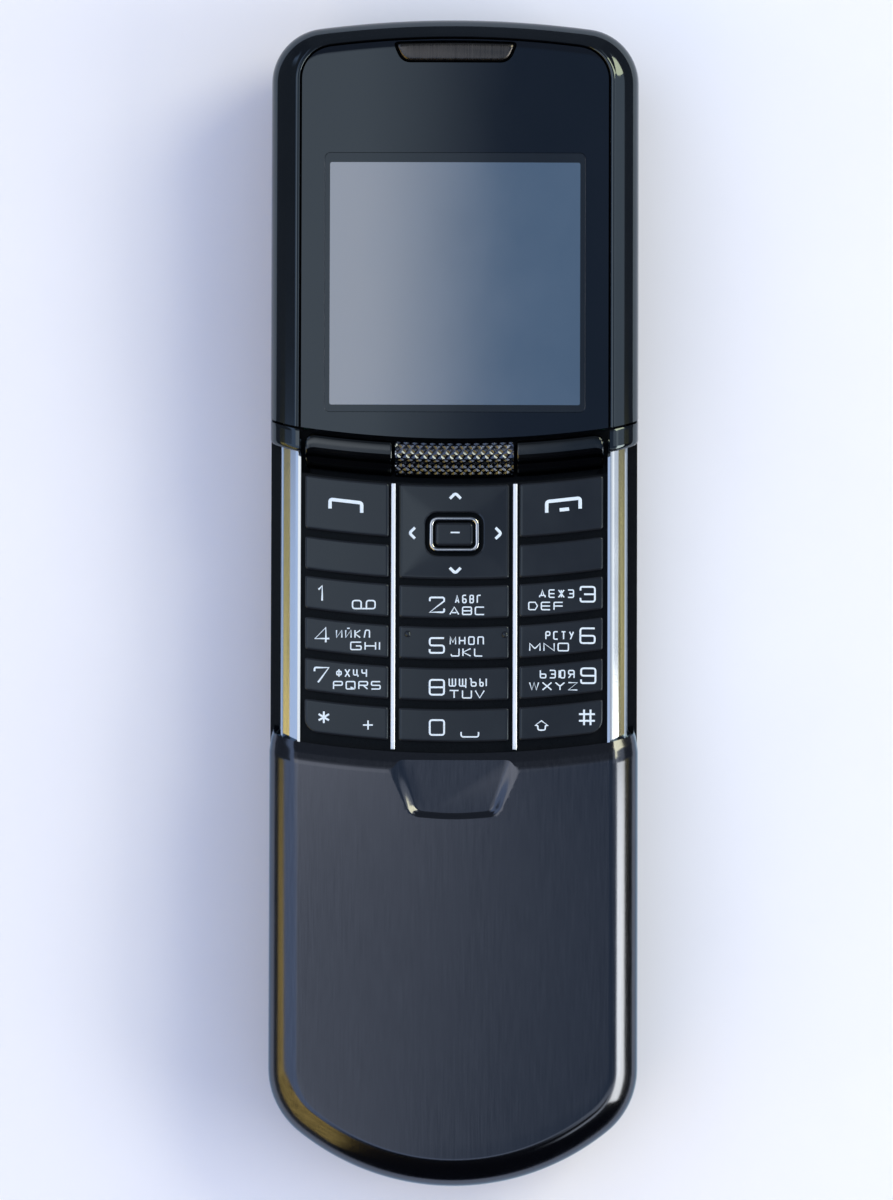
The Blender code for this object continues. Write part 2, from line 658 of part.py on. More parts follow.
def make_display_window():
    bm = plate(glass_outline(0, HOUSING_EDGE_Y), GLASS_BACK_Z, THICKNESS)
    crown(bm)
    window = add_part("display_window", bm, BLACK_GLASS, HANDSET)
    half = EARPIECE_HALF_WIDTH + FIT_GAP
    high = TOP_Y - EARPIECE_FROM_TOP + FIT_GAP
    low = high - EARPIECE_SLOT_LENGTH - 2 * FIT_GAP
    slot = plate(rounded_rectangle(half, (high - low) / 2, EARPIECE_SLOT_LENGTH / 2, 0, (high + low) / 2),
                 PARTING_HEIGHT, THICKNESS + OVERRUN)
    cut(window, add_cutter("earpiece_slot", slot))


def make_earpiece():
    """The trim bar in the glass and the speaker under it."""
    high = TOP_Y - EARPIECE_FROM_TOP
    low = high - EARPIECE_SLOT_LENGTH
    middle = (high + low) / 2
    half_y = EARPIECE_SLOT_LENGTH / 2
    base = rounded_rectangle(EARPIECE_HALF_WIDTH, half_y, half_y - EARPIECE_CHAMFER, 0, middle)
    face = rounded_rectangle(EARPIECE_HALF_WIDTH - EARPIECE_CHAMFER, half_y - EARPIECE_CHAMFER,
                             half_y - EARPIECE_CHAMFER, 0, middle)
    trim = stacked([(base, GLASS_BACK_Z - FIT_GAP), (base, THICKNESS - EARPIECE_CHAMFER),
                    (face, THICKNESS - EARPIECE_CHAMFER / 2)])
    add_part("earpiece_trim", trim, BLACK_METAL, HANDSET)
    top_z = GLASS_BACK_Z - 2 * FIT_GAP
    far = TOP_Y - SPEAKER_FROM_TOP
    half = SPEAKER_WIDTH / 2
    speaker = box(-half, half, far - SPEAKER_LENGTH, far, top_z - SPEAKER_HEIGHT, top_z)
    add_part("earpiece_speaker", speaker, SHIELD_TIN, HANDSET)


def make_collar():
    """The trim band under the housing: one curved piece on each side of the soft keys."""
    for name, side in (("collar_left", -1), ("collar_right", 1)):
        ends = sorted((side * CHROME_IN_X, side * WIDTH))
        skin = front_skin(flat_end(HOUSING_EDGE_Y + WIDTH / 2, CHASSIS_CORNER),
                          flat_end(-COLLAR_EDGE_Y + OVERRUN, CHASSIS_CORNER))
        collar = add_part(name, skin, BLACK_METAL, HANDSET)
        thicken(collar, FRONT_WALL)
        slab = leaning_slab(*ends, COLLAR_EDGE_Y, HOUSING_EDGE_Y - FIT_GAP, 0, THICKNESS + OVERRUN)
        combine(collar, add_cutter(f"{name}_slab", slab), "INTERSECT")


def make_top_cap():
    skin = back_skin(top_end(TOP_Y), flat_end(-TOP_CAP_Y + TOP_CAP_LENGTH, CHASSIS_CORNER), 0,
                     BACK_SHELL_Z, SEAM_LOW_Z)
    cap = add_part("top_cap", skin, BLACK_METAL, HANDSET)
    thicken(cap, TOP_CAP_WALL)
    below = box(-WIDTH, WIDTH, TOP_CAP_Y - WIDTH, TOP_CAP_Y, 0, THICKNESS)
    half_x = POWER_HALF_WIDTH + FIT_GAP
    half_z = POWER_HEIGHT / 2 + FIT_GAP
    hole = box(-half_x, half_x, TOP_Y - POWER_DEPTH, TOP_Y + OVERRUN, POWER_Z - half_z, POWER_Z + half_z)
    cut(cap, add_cutter("below_top_cap", below), add_cutter("power_key_hole", hole))


def make_power_key():
    """A push key through the top end, with a flange behind the wall."""
    face_y = TOP_Y - POWER_FLUSH
    flange_low = POWER_Z - POWER_HEIGHT / 2 - POWER_FLANGE
    flange_y = TOP_Y - back_inset(flange_low, BACK_SHELL_Z) - TOP_CAP_WALL - SLIDE_GAP
    half_z = POWER_HEIGHT / 2
    stem = rounded_rectangle(POWER_HALF_WIDTH, half_z, half_z / 2)
    flange = rounded_rectangle(POWER_HALF_WIDTH + POWER_FLANGE, half_z + POWER_FLANGE, half_z / 2)
    back_y = flange_y - POWER_FLANGE_THICKNESS
    bm = stacked([(flange, back_y), (flange, flange_y), (stem, flange_y), (stem, face_y)])
    turn = Matrix(((1, 0, 0, 0), (0, 0, 1, 0), (0, 1, 0, POWER_Z), (0, 0, 0, 1)))
    bmesh.ops.transform(bm, matrix=turn, verts=bm.verts)
    bmesh.ops.recalc_face_normals(bm, faces=bm.faces)
    key = add_part("power_key", bm, BLACK_METAL, HANDSET)
    move_origin(key, 0, face_y, POWER_Z)


def make_chassis():
    """The casting that everything in the handset is fixed to: a deck with a keel ring under it."""
    ends = top_end(TOP_Y), flat_end(-CHASSIS_Y, CHASSIS_CORNER)
    chassis = add_part("inner_chassis", plate(outline(*ends, CHASSIS_SIDE), DECK_LOW_Z, DECK_TOP_Z),
                       MAGNESIUM, HANDSET)
    keel_ends = flat_end(BACK_SHELL_TOP_Y, CHASSIS_CORNER), flat_end(-CHASSIS_Y, CHASSIS_CORNER)
    hollow_ends = (flat_end(BACK_SHELL_TOP_Y - KEEL_WALL, CHASSIS_CORNER),
                   flat_end(-CHASSIS_Y - KEEL_WALL, CHASSIS_CORNER))
    middle = (DECK_LOW_Z + DECK_TOP_Z) / 2
    keel = plate(outline(*keel_ends, KEEL_SIDE), KEEL_LOW_Z, middle)
    hollow = plate(outline(*hollow_ends, KEEL_SIDE + KEEL_WALL), KEEL_LOW_Z - OVERRUN, DECK_LOW_Z)
    combine(chassis, add_cutter("keel", keel), "UNION")
    cut(chassis, add_cutter("keel_hollow", hollow))


def make_back_shell():
    far_end = flat_end(BACK_SHELL_TOP_Y, BACK_SHELL_CORNER)
    near_end = flat_end(-BACK_SHELL_LOW_Y, BACK_SHELL_CORNER)
    skin = back_skin(far_end, near_end, CHASSIS_SIDE, BACK_SHELL_Z, BACK_SHELL_RIM_Z + FIT_GAP)
    shell = add_part("back_shell", skin, DARK_PLASTIC, HANDSET)
    thicken(shell, BACK_SHELL_WALL)
    above_rim = box(-WIDTH, WIDTH, CHASSIS_Y, TOP_Y, BACK_SHELL_RIM_Z, THICKNESS)
    lens_hole = cylinder(CAMERA_LENS_RADIUS + FIT_GAP, 2 * OVERRUN, UPRIGHT,
                         (0, TOP_Y - CAMERA_FROM_TOP, BACK_SHELL_Z))
    slots = bmesh.new()
    for index in range(SOUND_SLOTS):
        x = LOUDSPEAKER_X + (index - (SOUND_SLOTS - 1) / 2) * SOUND_SLOT_PITCH
        middle_y = TOP_Y - LOUDSPEAKER_FROM_TOP
        half_x = SOUND_SLOT_WIDTH / 2
        ring = rounded_rectangle(half_x, SOUND_SLOT_LENGTH / 2, half_x / 2, x, middle_y)
        low = [(px, py, 0) for px, py in ring]
        high = [(px, py, BACK_SHELL_Z + OVERRUN) for px, py in ring]
        ring_stack(slots, [low, high])
    cut(shell, add_cutter("above_back_shell", above_rim), add_cutter("lens_hole", lens_hole),
        add_cutter("sound_slots", slots))


def make_camera():
    y = TOP_Y - CAMERA_FROM_TOP
    lens = bmesh.new()
    outer = CAMERA_LENS_RADIUS - CAMERA_CHAMFER
    bmesh.ops.create_cone(lens, cap_ends=True, segments=ROUND_SIDES, radius1=outer,
                          radius2=CAMERA_LENS_RADIUS, depth=BACK_SHELL_WALL)
    bmesh.ops.translate(lens, vec=(0, y, BACK_SHELL_Z + BACK_SHELL_WALL / 2), verts=lens.verts)
    add_part("camera_lens", lens, BLACK_GLASS, HANDSET)
    height = DECK_LOW_Z - CAMERA_HEADROOM - BACK_PARTS_Z
    module = cylinder(CAMERA_RADIUS, height, UPRIGHT, (0, y, BACK_PARTS_Z + height / 2))
    add_part("camera_module", module, DARK_PLASTIC, HANDSET)


def make_sounders():
    """Loudspeaker, vibration motor and antenna carrier, all on the back shell's floor."""
    half_x = (LOUDSPEAKER_OUT_X - LOUDSPEAKER_FROM_MIDDLE) / 2
    ring = rounded_rectangle(half_x, LOUDSPEAKER_LENGTH / 2, LOUDSPEAKER_CORNER, LOUDSPEAKER_X,
                             TOP_Y - LOUDSPEAKER_FROM_TOP)
    speaker = plate(ring, BACK_PARTS_Z, DECK_LOW_Z - LOUDSPEAKER_HEADROOM)
    add_part("loudspeaker", speaker, SHIELD_TIN, HANDSET)
    motor_out_x = HALF_WIDTH - MOTOR_SIDE
    radius = (DECK_LOW_Z - MOTOR_HEADROOM - BACK_PARTS_Z) / 2
    place = ((motor_out_x + MOTOR_FROM_MIDDLE) / 2, TOP_Y - MOTOR_FROM_TOP, BACK_PARTS_Z + radius)
    motor = cylinder(radius, motor_out_x - MOTOR_FROM_MIDDLE, ALONG_X, place)
    add_part("vibration_motor", motor, SHIELD_TIN, HANDSET)
    far = BACK_SHELL_TOP_Y - BACK_SHELL_WALL - FIT_GAP
    half = HALF_WIDTH - ANTENNA_SIDE
    antenna = box(-half, half, far - ANTENNA_LENGTH, far, BACK_PARTS_Z, DECK_LOW_Z - ANTENNA_HEADROOM)
    add_part("antenna", antenna, DARK_PLASTIC, HANDSET)


def make_display():
    """The display panel in its frame, whose pocket has a ledge under the panel."""
    half = HALF_WIDTH - DISPLAY_SIDE
    panel = box(-half, half, DISPLAY_LOW_Y, DISPLAY_HIGH_Y, DISPLAY_LOW_Z, DISPLAY_TOP_Z)
    add_part("lcd_panel", panel, SCREEN, HANDSET)
    frame_half = HALF_WIDTH - DISPLAY_FRAME_SIDE
    block = box(-frame_half, frame_half, DISPLAY_FRAME_LOW_Y, DISPLAY_FRAME_HIGH_Y,
                DISPLAY_FRAME_LOW_Z, DISPLAY_TOP_Z)
    frame = add_part("lcd_frame", block, SHIELD_TIN, HANDSET)
    low_y = DISPLAY_LOW_Y - FIT_GAP
    high_y = DISPLAY_HIGH_Y + FIT_GAP
    half += FIT_GAP
    pocket = box(-half, half, low_y, high_y, DISPLAY_LOW_Z - FIT_GAP, THICKNESS)
    hole = box(-half + DISPLAY_LEDGE, half - DISPLAY_LEDGE, low_y + DISPLAY_LEDGE,
               high_y - DISPLAY_LEDGE, DISPLAY_FRAME_LOW_Z - OVERRUN, THICKNESS)
    cut(frame, add_cutter("lcd_pocket", pocket), add_cutter("lcd_window", hole))


def make_main_board():
    half = HALF_WIDTH - MAIN_BOARD_SIDE
    low_z = DECK_TOP_Z + FIT_GAP
    high_z = low_z + MAIN_BOARD_THICKNESS
    board = box(-half, half, DISPLAY_FRAME_LOW_Y, TOP_Y - MAIN_BOARD_FROM_TOP, low_z, high_z)
    add_part("main_board", board, BOARD_GREEN, HANDSET)
    can_half = HALF_WIDTH - SHIELD_SIDE
    can = box(-can_half, can_half, DISPLAY_FRAME_LOW_Y + SHIELD_FROM_BOARD_END, TOP_Y - SHIELD_FROM_TOP,
              high_z + FIT_GAP, DISPLAY_FRAME_LOW_Z - FIT_GAP)
    add_part("shield_can", can, SHIELD_TIN, HANDSET)


def make_chrome_rails():
    """The bright curved shoulders beside the keys, each with a lip along its outer side."""
    height = THICKNESS - CHROME_DEPTH - PARTING_HEIGHT
    span = FRONT_SHOULDER_IN - CHROME_DEPTH
    section = [(CHROME_IN_X, CHROME_LOW_Z)]
    start = math.asin((CHROME_LOW_Z - PARTING_HEIGHT) / height)
    for step in range(SHOULDER_STEPS + 1):
        angle = start + (math.pi / 2 - start) * step / SHOULDER_STEPS
        x = HALF_WIDTH - CHROME_DEPTH - span * (1 - math.cos(angle))
        if x > CHROME_IN_X:
            section.append((x, PARTING_HEIGHT + height * math.sin(angle)))
    top = height * math.sqrt(1 - ((CHROME_IN_X - HALF_WIDTH + FRONT_SHOULDER_IN) / span) ** 2)
    section.append((CHROME_IN_X, PARTING_HEIGHT + top))
    for name, side in (("chrome_rail_left", -1), ("chrome_rail_right", 1)):
        rings = []
        for y in (CHASSIS_Y, CHROME_TOP_Y):
            rings.append([(side * x, y, z - crown_drop(x, z)) for x, z in section])
        bm = bmesh.new()
        ring_stack(bm, rings)
        bmesh.ops.recalc_face_normals(bm, faces=bm.faces)
        add_part(name, bm, CHROME, HANDSET)


def rounded_key(points, low, high, corner_radius=0, corner_index=None):
    """A key cap with rounded top edges. One of its corners can be round in plan as well."""
    bm = plate(points, low, high)
    if corner_index is not None:
        x, y = points[corner_index]
        sharp = []
        for edge in bm.edges:
            if all(math.dist(vert.co[:2], (x, y)) < MERGE for vert in edge.verts):
                sharp.append(edge)
        bmesh.ops.bevel(bm, geom=sharp, offset=corner_radius, segments=3, profile=0.5, affect="EDGES")
    rim = [edge for edge in bm.edges if all(vert.co.z > high - MERGE for vert in edge.verts)]
    bmesh.ops.bevel(bm, geom=rim, offset=KEY_ROUND, segments=2, profile=0.5, affect="EDGES")
    return bm


def add_foot(bm, low, foot_low, inset):
    """Draws the cap's underside in to a stem that reaches down through the frame."""
    under = [face for face in bm.faces if all(vert.co.z < low + MERGE for vert in face.verts)]
    bmesh.ops.inset_region(bm, faces=under, thickness=inset, use_even_offset=True)
    grown = bmesh.ops.extrude_face_region(bm, geom=under)
    verts = [item for item in grown["geom"] if isinstance(item, bmesh.types.BMVert)]
    bmesh.ops.translate(bm, vec=(0, 0, foot_low - low), verts=verts)
    bmesh.ops.delete(bm, geom=under, context="FACES")


STEM_HOLES = bmesh.new()
DOMES = bmesh.new()


def add_stem_hole(low_x, high_x, low_y, high_y):
    inset = KEY_STEM_IN - KEY_STEM_GAP
    ring = smile_patch(low_x + inset, high_x - inset, low_y + inset, high_y - inset)
    low = [(x, y, FRAME_UNDER_Z - OVERRUN) for x, y in ring]
    high = [(x, y, FRAME_TOP_Z + OVERRUN) for x, y in ring]
    ring_stack(STEM_HOLES, [low, high])


def add_dome(x, y):
    low = MAT_LOW_Z + MAT_THICKNESS / 2
    place = Matrix.Translation((x, y, (low + DOME_TOP_Z) / 2))
    bmesh.ops.create_cone(DOMES, cap_ends=True, segments=DOME_SIDES, radius1=DOME_RADIUS,
                          radius2=DOME_RADIUS / 2, depth=DOME_TOP_Z - low, matrix=place)


def make_key(name, low_x, high_x, high_y, length, round_corner=None):
    """One key: its cap, its stem, the frame's hole for the stem and the dome under it."""
    low_y = high_y - length
    points = smile_patch(low_x, high_x, low_y, high_y)
    bm = rounded_key(points, KEY_CAP_Z, KEY_TOP_Z, CORNER_KEY_RADIUS, round_corner)
    add_foot(bm, KEY_CAP_Z, KEY_FOOT_Z, KEY_STEM_IN)
    crown(bm)
    bmesh.ops.recalc_face_normals(bm, faces=bm.faces)
    key = add_part(name, bm, KEY_PLASTIC, HANDSET)
    middle_x = (low_x + high_x) / 2
    middle_y = (low_y + high_y) / 2 + smile(middle_x)
    move_origin(key, middle_x, middle_y, KEY_TOP_Z)
    add_stem_hole(low_x, high_x, low_y, high_y)
    add_dome(middle_x, middle_y)


def make_keys():
    left = (-SIDE_KEY_OUT_X, -SIDE_KEY_IN_X)
    centre = (-CENTRE_KEY_X, CENTRE_KEY_X)
    right = (SIDE_KEY_IN_X, SIDE_KEY_OUT_X)
    make_key("call_key", *left, KEYPAD_TOP_Y, CALL_KEY_LENGTH)
    make_key("end_key", *right, KEYPAD_TOP_Y, CALL_KEY_LENGTH)
    make_key("blank_key_left", *left, BLANK_TOP_Y, KEY_LENGTH)
    make_key("blank_key_right", *right, BLANK_TOP_Y, KEY_LENGTH)
    rows = (("key_1", "key_2", "key_3"), ("key_4", "key_5", "key_6"), ("key_7", "key_8", "key_9"),
            ("key_star", "key_0", "key_hash"))
    outer_corner = {"key_star": 0, "key_hash": KEY_EDGE_STEPS}
    for row, names in enumerate(rows):
        for name, column in zip(names, (left, centre, right)):
            top = DIGITS_TOP_Y - row * KEY_PITCH
            make_key(name, *column, top, KEY_LENGTH, outer_corner.get(name))


def make_nav_cluster():
    """Rocker, navigation key, bright ring and select key, one inside the other."""
    low_y = KEYPAD_TOP_Y - NAV_LENGTH
    inset = KEY_STEM_IN
    half = CENTRE_KEY_X
    bm = rounded_key(smile_patch(-half, half, low_y, KEYPAD_TOP_Y), KEY_CAP_Z, KEY_TOP_Z)
    add_foot(bm, KEY_CAP_Z, NAV_FOOT_Z, inset)
    crown(bm)
    bmesh.ops.recalc_face_normals(bm, faces=bm.faces)
    nav = add_part("nav_key", bm, KEY_PLASTIC, HANDSET)
    add_stem_hole(-half, half, low_y, KEYPAD_TOP_Y)
    half_y = RING_LENGTH / 2
    hole = plate(rounded_rectangle(RING_HALF_WIDTH + RING_GAP, half_y + RING_GAP, RING_CORNER + RING_GAP,
                                   0, NAV_CENTRE_Y), NAV_FOOT_Z - OVERRUN, THICKNESS + OVERRUN)
    cut(nav, add_cutter("select_hole", hole))
    move_origin(nav, 0, NAV_CENTRE_Y, NAV_FOOT_Z)
    ring_points = rounded_rectangle(RING_HALF_WIDTH, half_y, RING_CORNER, 0, NAV_CENTRE_Y)
    ring_low = SELECT_FOOT_Z - RING_FOOT_HEIGHT / 2
    ring_skin = stacked([(ring_points, ring_low), (ring_points, KEY_TOP_Z)], False, False)
    ring = add_part("select_ring", ring_skin, CHROME, HANDSET)
    thicken(ring, RING_WALL)
    move_origin(ring, 0, NAV_CENTRE_Y, NAV_FOOT_Z)
    inner = RING_WALL + RING_GAP
    select_points = rounded_rectangle(RING_HALF_WIDTH - inner, half_y - inner, RING_CORNER / 2,
                                      0, NAV_CENTRE_Y)
    select_bm = rounded_key(select_points, SELECT_FOOT_Z, KEY_TOP_Z + SELECT_RISE)
    select = add_part("select_key", select_bm, KEY_PLASTIC, HANDSET)
    move_origin(select, 0, NAV_CENTRE_Y, KEY_TOP_Z)
    rocker = box(-half + ROCKER_IN, half - ROCKER_IN, low_y + ROCKER_IN, KEYPAD_TOP_Y - ROCKER_IN,
                 ROCKER_LOW_Z, ROCKER_TOP_Z)
    actuator = add_part("nav_rocker", rocker, DARK_PLASTIC, HANDSET)
    move_origin(actuator, 0, NAV_CENTRE_Y, ROCKER_TOP_Z)


def roll_section():
    """The soft keys' section in Y and Z, counterclockwise seen from -X."""
    height = SOFT_KEY_Z - KEY_FOOT_Z
    top = []
    for along, rise in ROLL_SHARES:
        top.append((SOFT_KEY_TOP_Y - along * SOFT_KEY_LENGTH, KEY_FOOT_Z + rise * height))
    return top + [(SOFT_KEY_LOW_Y, KEY_FOOT_Z), (SOFT_KEY_TOP_Y, KEY_FOOT_Z)]


def make_soft_keys():
    section = roll_section()
    middle_y = (SOFT_KEY_TOP_Y + SOFT_KEY_LOW_Y) / 2
    for name, side in (("soft_key_left", -1), ("soft_key_right", 1)):
        ends = sorted((side * SOFT_KEY_IN_X, side * SOFT_KEY_OUT_X))
        key = add_part(name, bar_across(section, *ends, KEY_EDGE_STEPS), BLACK_METAL, HANDSET)
        middle_x = sum(ends) / 2
        move_origin(key, middle_x, middle_y + smile(middle_x), SOFT_KEY_Z)
        add_dome(middle_x, middle_y + smile(middle_x))
    grip = bar_across(section, -GRIP_HALF_WIDTH, GRIP_HALF_WIDTH, 2 * KEY_EDGE_STEPS)
    add_part("grip_bar", grip, DARK_PLASTIC, HANDSET)


def make_dividers():
    high_y = KEYPAD_TOP_Y + DIVIDER_TOP_SPARE
    for name, side in (("column_divider_left", -1), ("column_divider_right", 1)):
        low_x = side * DIVIDER_X - DIVIDER_WIDTH / 2
        high_x = side * DIVIDER_X + DIVIDER_WIDTH / 2
        bm = box(low_x, high_x, DIVIDER_LOW_Y, high_y, FRAME_TOP_Z + FIT_GAP, KEY_TOP_Z)
        crown(bm)
        add_part(name, bm, CHROME, HANDSET)


def make_keypad_frame():
    """The black plate around the keys, with walls down to the deck."""
    half = FRAME_HALF_WIDTH
    high_y = KEYPAD_TOP_Y + FIT_GAP
    across = [half - 2 * half * step / SMILE_STEPS for step in range(SMILE_STEPS + 1)]
    upper = [(x, high_y + smile(x)) for x in across]
    block = plate([(-half, CHASSIS_Y), (half, CHASSIS_Y)] + upper, CHROME_LOW_Z, FRAME_TOP_Z)
    crown(block)
    frame = add_part("keypad_frame", block, DARK_PLASTIC, HANDSET)
    inner = half - FRAME_WALL
    hollow = box(-inner, inner, CHASSIS_Y + FRAME_WALL, TOP_Y, 0, FRAME_UNDER_Z)
    cut(frame, add_cutter("frame_hollow", hollow), add_cutter("stem_holes", STEM_HOLES))


def make_mat_and_board():
    half = FRAME_HALF_WIDTH - FRAME_WALL - FIT_GAP
    low_y = CHASSIS_Y + FRAME_WALL + FIT_GAP
    high_y = SOFT_KEY_TOP_Y
    mat = add_part("key_mat", box(-half, half, low_y, high_y, MAT_LOW_Z, MAT_TOP_Z), RUBBER, HANDSET)
    combine(mat, add_cutter("mat_domes", DOMES), "UNION")
    board = box(-half, half, low_y, high_y, BOARD_LOW_Z, BOARD_TOP_Z)
    add_part("keypad_board", board, BOARD_GREEN, HANDSET)


def tray_ends():
    return top_end(TRAY_TOP_Y), chin_end(CHIN_Y)


def make_tray():
    """The sliding half's shell: walls, floor, battery deck and the wall that ends the battery bay."""
    tray = add_part("rear_tray", back_skin(*tray_ends(), 0, 0, SEAM_LOW_Z), BLACK_METAL, SLIDER)
    thicken(tray, TRAY_FLOOR)
    upper = box(-WIDTH, WIDTH, TRAY_WALL_TOP_Y, TOP_Y, TRAY_FLOOR, THICKNESS)
    lower = box(-WIDTH, WIDTH, CHIN_Y - OVERRUN, BAY_TOP_Y, -OVERRUN, COVER_SPLIT_Z)
    deck_far = flat_end(BAY_TOP_Y + BAY_WALL / 2, CHASSIS_CORNER)
    deck_near = flat_end(-BAY_LOW_Y, CHIN_CORNER_RADIUS - TRAY_FLOOR)
    deck = plate(outline(deck_far, deck_near, BAY_SIDE), BATTERY_DECK_Z, BATTERY_DECK_Z + BATTERY_DECK)
    wall = bay_wall()
    cut(tray, add_cutter("tray_upper_walls", upper), add_cutter("cover_space", lower))
    combine(tray, add_cutter("battery_deck", deck), "UNION")
    combine(tray, add_cutter("bay_wall", wall), "UNION")
    release = box(-RELEASE_HALF_WIDTH - FIT_GAP, RELEASE_HALF_WIDTH + FIT_GAP,
                  RELEASE_Y - RELEASE_LENGTH / 2 - FIT_GAP, RELEASE_Y + RELEASE_LENGTH / 2 + FIT_GAP,
                  -OVERRUN, TRAY_FLOOR + OVERRUN)
    release_hole = add_cutter("release_hole", release)
    socket_place = (SOCKET_X, chin_wall_y(SOCKET_X, SOCKET_Z), SOCKET_Z)
    socket = cylinder(SOCKET_BORE_RADIUS + FIT_GAP, 4 * OVERRUN, ALONG_Y, socket_place)
    sound_place = (MICROPHONE_X, chin_wall_y(MICROPHONE_X, SOCKET_Z), SOCKET_Z)
    sound = cylinder(MICROPHONE_HOLE_RADIUS, 4 * OVERRUN, ALONG_Y, sound_place, DOME_SIDES)
    cut(tray, release_hole, add_cutter("socket_hole", socket), add_cutter("sound_hole", sound))


def bay_wall():
    """A cross wall that follows the tray's section, from its floor to the battery deck."""
    height = PARTING_HEIGHT
    levels = []
    top = BATTERY_DECK_Z + BATTERY_DECK / 2
    start = math.asin((PARTING_HEIGHT - TRAY_FLOOR / 2) / height)
    stop = math.asin((PARTING_HEIGHT - top) / height)
    for step in range(SHOULDER_STEPS + 1):
        angle = start + (stop - start) * step / SHOULDER_STEPS
        half = HALF_WIDTH - BACK_IN * (1 - math.cos(angle)) - BAY_SIDE
        far_y = BAY_TOP_Y + BAY_WALL
        ring = [(half, far_y), (-half, far_y), (-half, BAY_TOP_Y), (half, BAY_TOP_Y)]
        levels.append((ring, PARTING_HEIGHT - height * math.sin(angle)))
    return stacked(levels)


def back_inset(z, floor=0):
    """How far the curved back shoulder has drawn in at a height."""
    return BACK_IN * (1 - math.sqrt(1 - ((PARTING_HEIGHT - z) / (PARTING_HEIGHT - floor)) ** 2))


def chin_wall_y(x, z):
    """The chin's outer face at this X and height."""
    radius = CHIN_ARC_RADIUS - back_inset(z)
    return CHIN_Y + CHIN_ARC_RADIUS - math.sqrt(radius ** 2 - x * x)


def make_battery_cover():
    """The lower back of the tray, which slides off over the chin."""
    cover = add_part("battery_cover", back_skin(*tray_ends(), 0, 0, SEAM_LOW_Z), BLACK_METAL, SLIDER)
    thicken(cover, TRAY_FLOOR)
    upper = box(-WIDTH, WIDTH, CHIN_Y - OVERRUN, TOP_Y, COVER_SPLIT_Z - SEAM_GAP, THICKNESS)
    far = box(-WIDTH, WIDTH, BAY_TOP_Y - SEAM_GAP, TOP_Y, -OVERRUN, THICKNESS)
    cut(cover, add_cutter("above_battery_cover", upper), add_cutter("beyond_battery_cover", far))
    move_origin(cover, 0, BAY_TOP_Y, 0)


def make_release_button():
    stem = rounded_rectangle(RELEASE_HALF_WIDTH, RELEASE_LENGTH / 2, RELEASE_LENGTH / 4, 0, RELEASE_Y)
    button = add_part("cover_release_button", plate(stem, RELEASE_FLUSH, RELEASE_FLUSH + RELEASE_THICKNESS),
                      BLACK_METAL, SLIDER)
    move_origin(button, 0, RELEASE_Y, RELEASE_FLUSH)


def make_battery():
    """The battery, and the card holder between it and the deck."""
    half = HALF_WIDTH - BATTERY_SIDE
    half_y = (BATTERY_TOP_Y - BATTERY_LOW_Y) / 2
    points = rounded_rectangle(half, half_y, BATTERY_ROUND, 0, BATTERY_LOW_Y + half_y)
    add_part("battery", plate(points, BATTERY_Z, BATTERY_TOP_Z), BATTERY_SKIN, SLIDER)
    sim = box(-SIM_WIDTH / 2, SIM_WIDTH / 2, BATTERY_LOW_Y + SIM_MARGIN, BATTERY_TOP_Y - SIM_MARGIN,
              SIM_Z, SIM_Z + SIM_THICKNESS)
    add_part("sim_holder", sim, SHIELD_TIN, SLIDER)


def make_slide_rails():
    for name, side in (("slide_rail_left", -1), ("slide_rail_right", 1)):
        ends = sorted((side * (RAIL_BAR_OUT - RAIL_BAR_WIDTH), side * RAIL_BAR_OUT))
        high_y = TRAY_WALL_TOP_Y - FIT_GAP
        bar = box(*ends, high_y - RAIL_BAR_LENGTH, high_y, RAIL_BAR_Z, RAIL_BAR_Z + RAIL_BAR_HEIGHT)
        add_part(name, bar, SHIELD_TIN, SLIDER)


def make_front_cover():
    blank = front_skin(flat_end(COVER_EDGE_Y + COVER_BLANK_LENGTH, CHASSIS_CORNER), chin_end(CHIN_Y))
    cover = add_part("front_cover", blank, BRUSHED_METAL, SLIDER)
    thicken(cover, FRONT_WALL)
    above = leaning_slab(-WIDTH, WIDTH, COVER_EDGE_Y, COVER_EDGE_Y + WIDTH, 0, THICKNESS + OVERRUN)
    slope_y = COVER_EDGE_Y - EDGE_BEVEL_LENGTH
    flat_y = slope_y - EDGE_SLOPE_LENGTH
    slope_z = THICKNESS - EDGE_SLOPE_DROP
    edge_z = slope_z - EDGE_BEVEL_DROP
    beyond_y = COVER_EDGE_Y + OVERRUN
    above_z = THICKNESS + OVERRUN
    section = [(flat_y, THICKNESS), (slope_y, slope_z), (COVER_EDGE_Y, edge_z),
               (beyond_y, edge_z - EDGE_BEVEL_DROP), (beyond_y, above_z), (flat_y, above_z)]
    chamfer = bar_across(section, -WIDTH / 2, WIDTH / 2, SMILE_STEPS)
    cut(cover, add_cutter("above_cover_edge", above), add_cutter("cover_edge_chamfer", chamfer),
        add_cutter("thumb_recess", thumb_recess()))


def thumb_recess():
    """A shallow tapered hollow with sloping sides, under the cover's leading edge."""
    high_y = COVER_EDGE_Y - THUMB_FROM_EDGE
    low_y = high_y - THUMB_LENGTH
    rim = [(THUMB_LOW_HALF, low_y), (THUMB_TOP_HALF, high_y),
           (-THUMB_TOP_HALF, high_y), (-THUMB_LOW_HALF, low_y)]
    slope = THUMB_SLOPE
    floor = [(THUMB_LOW_HALF - slope, low_y + slope), (THUMB_TOP_HALF - slope, high_y - slope / 2),
             (slope - THUMB_TOP_HALF, high_y - slope / 2), (slope - THUMB_LOW_HALF, low_y + slope)]
    return stacked([(floor, THICKNESS - THUMB_DEPTH), (rim, THICKNESS), (rim, THICKNESS + OVERRUN)])


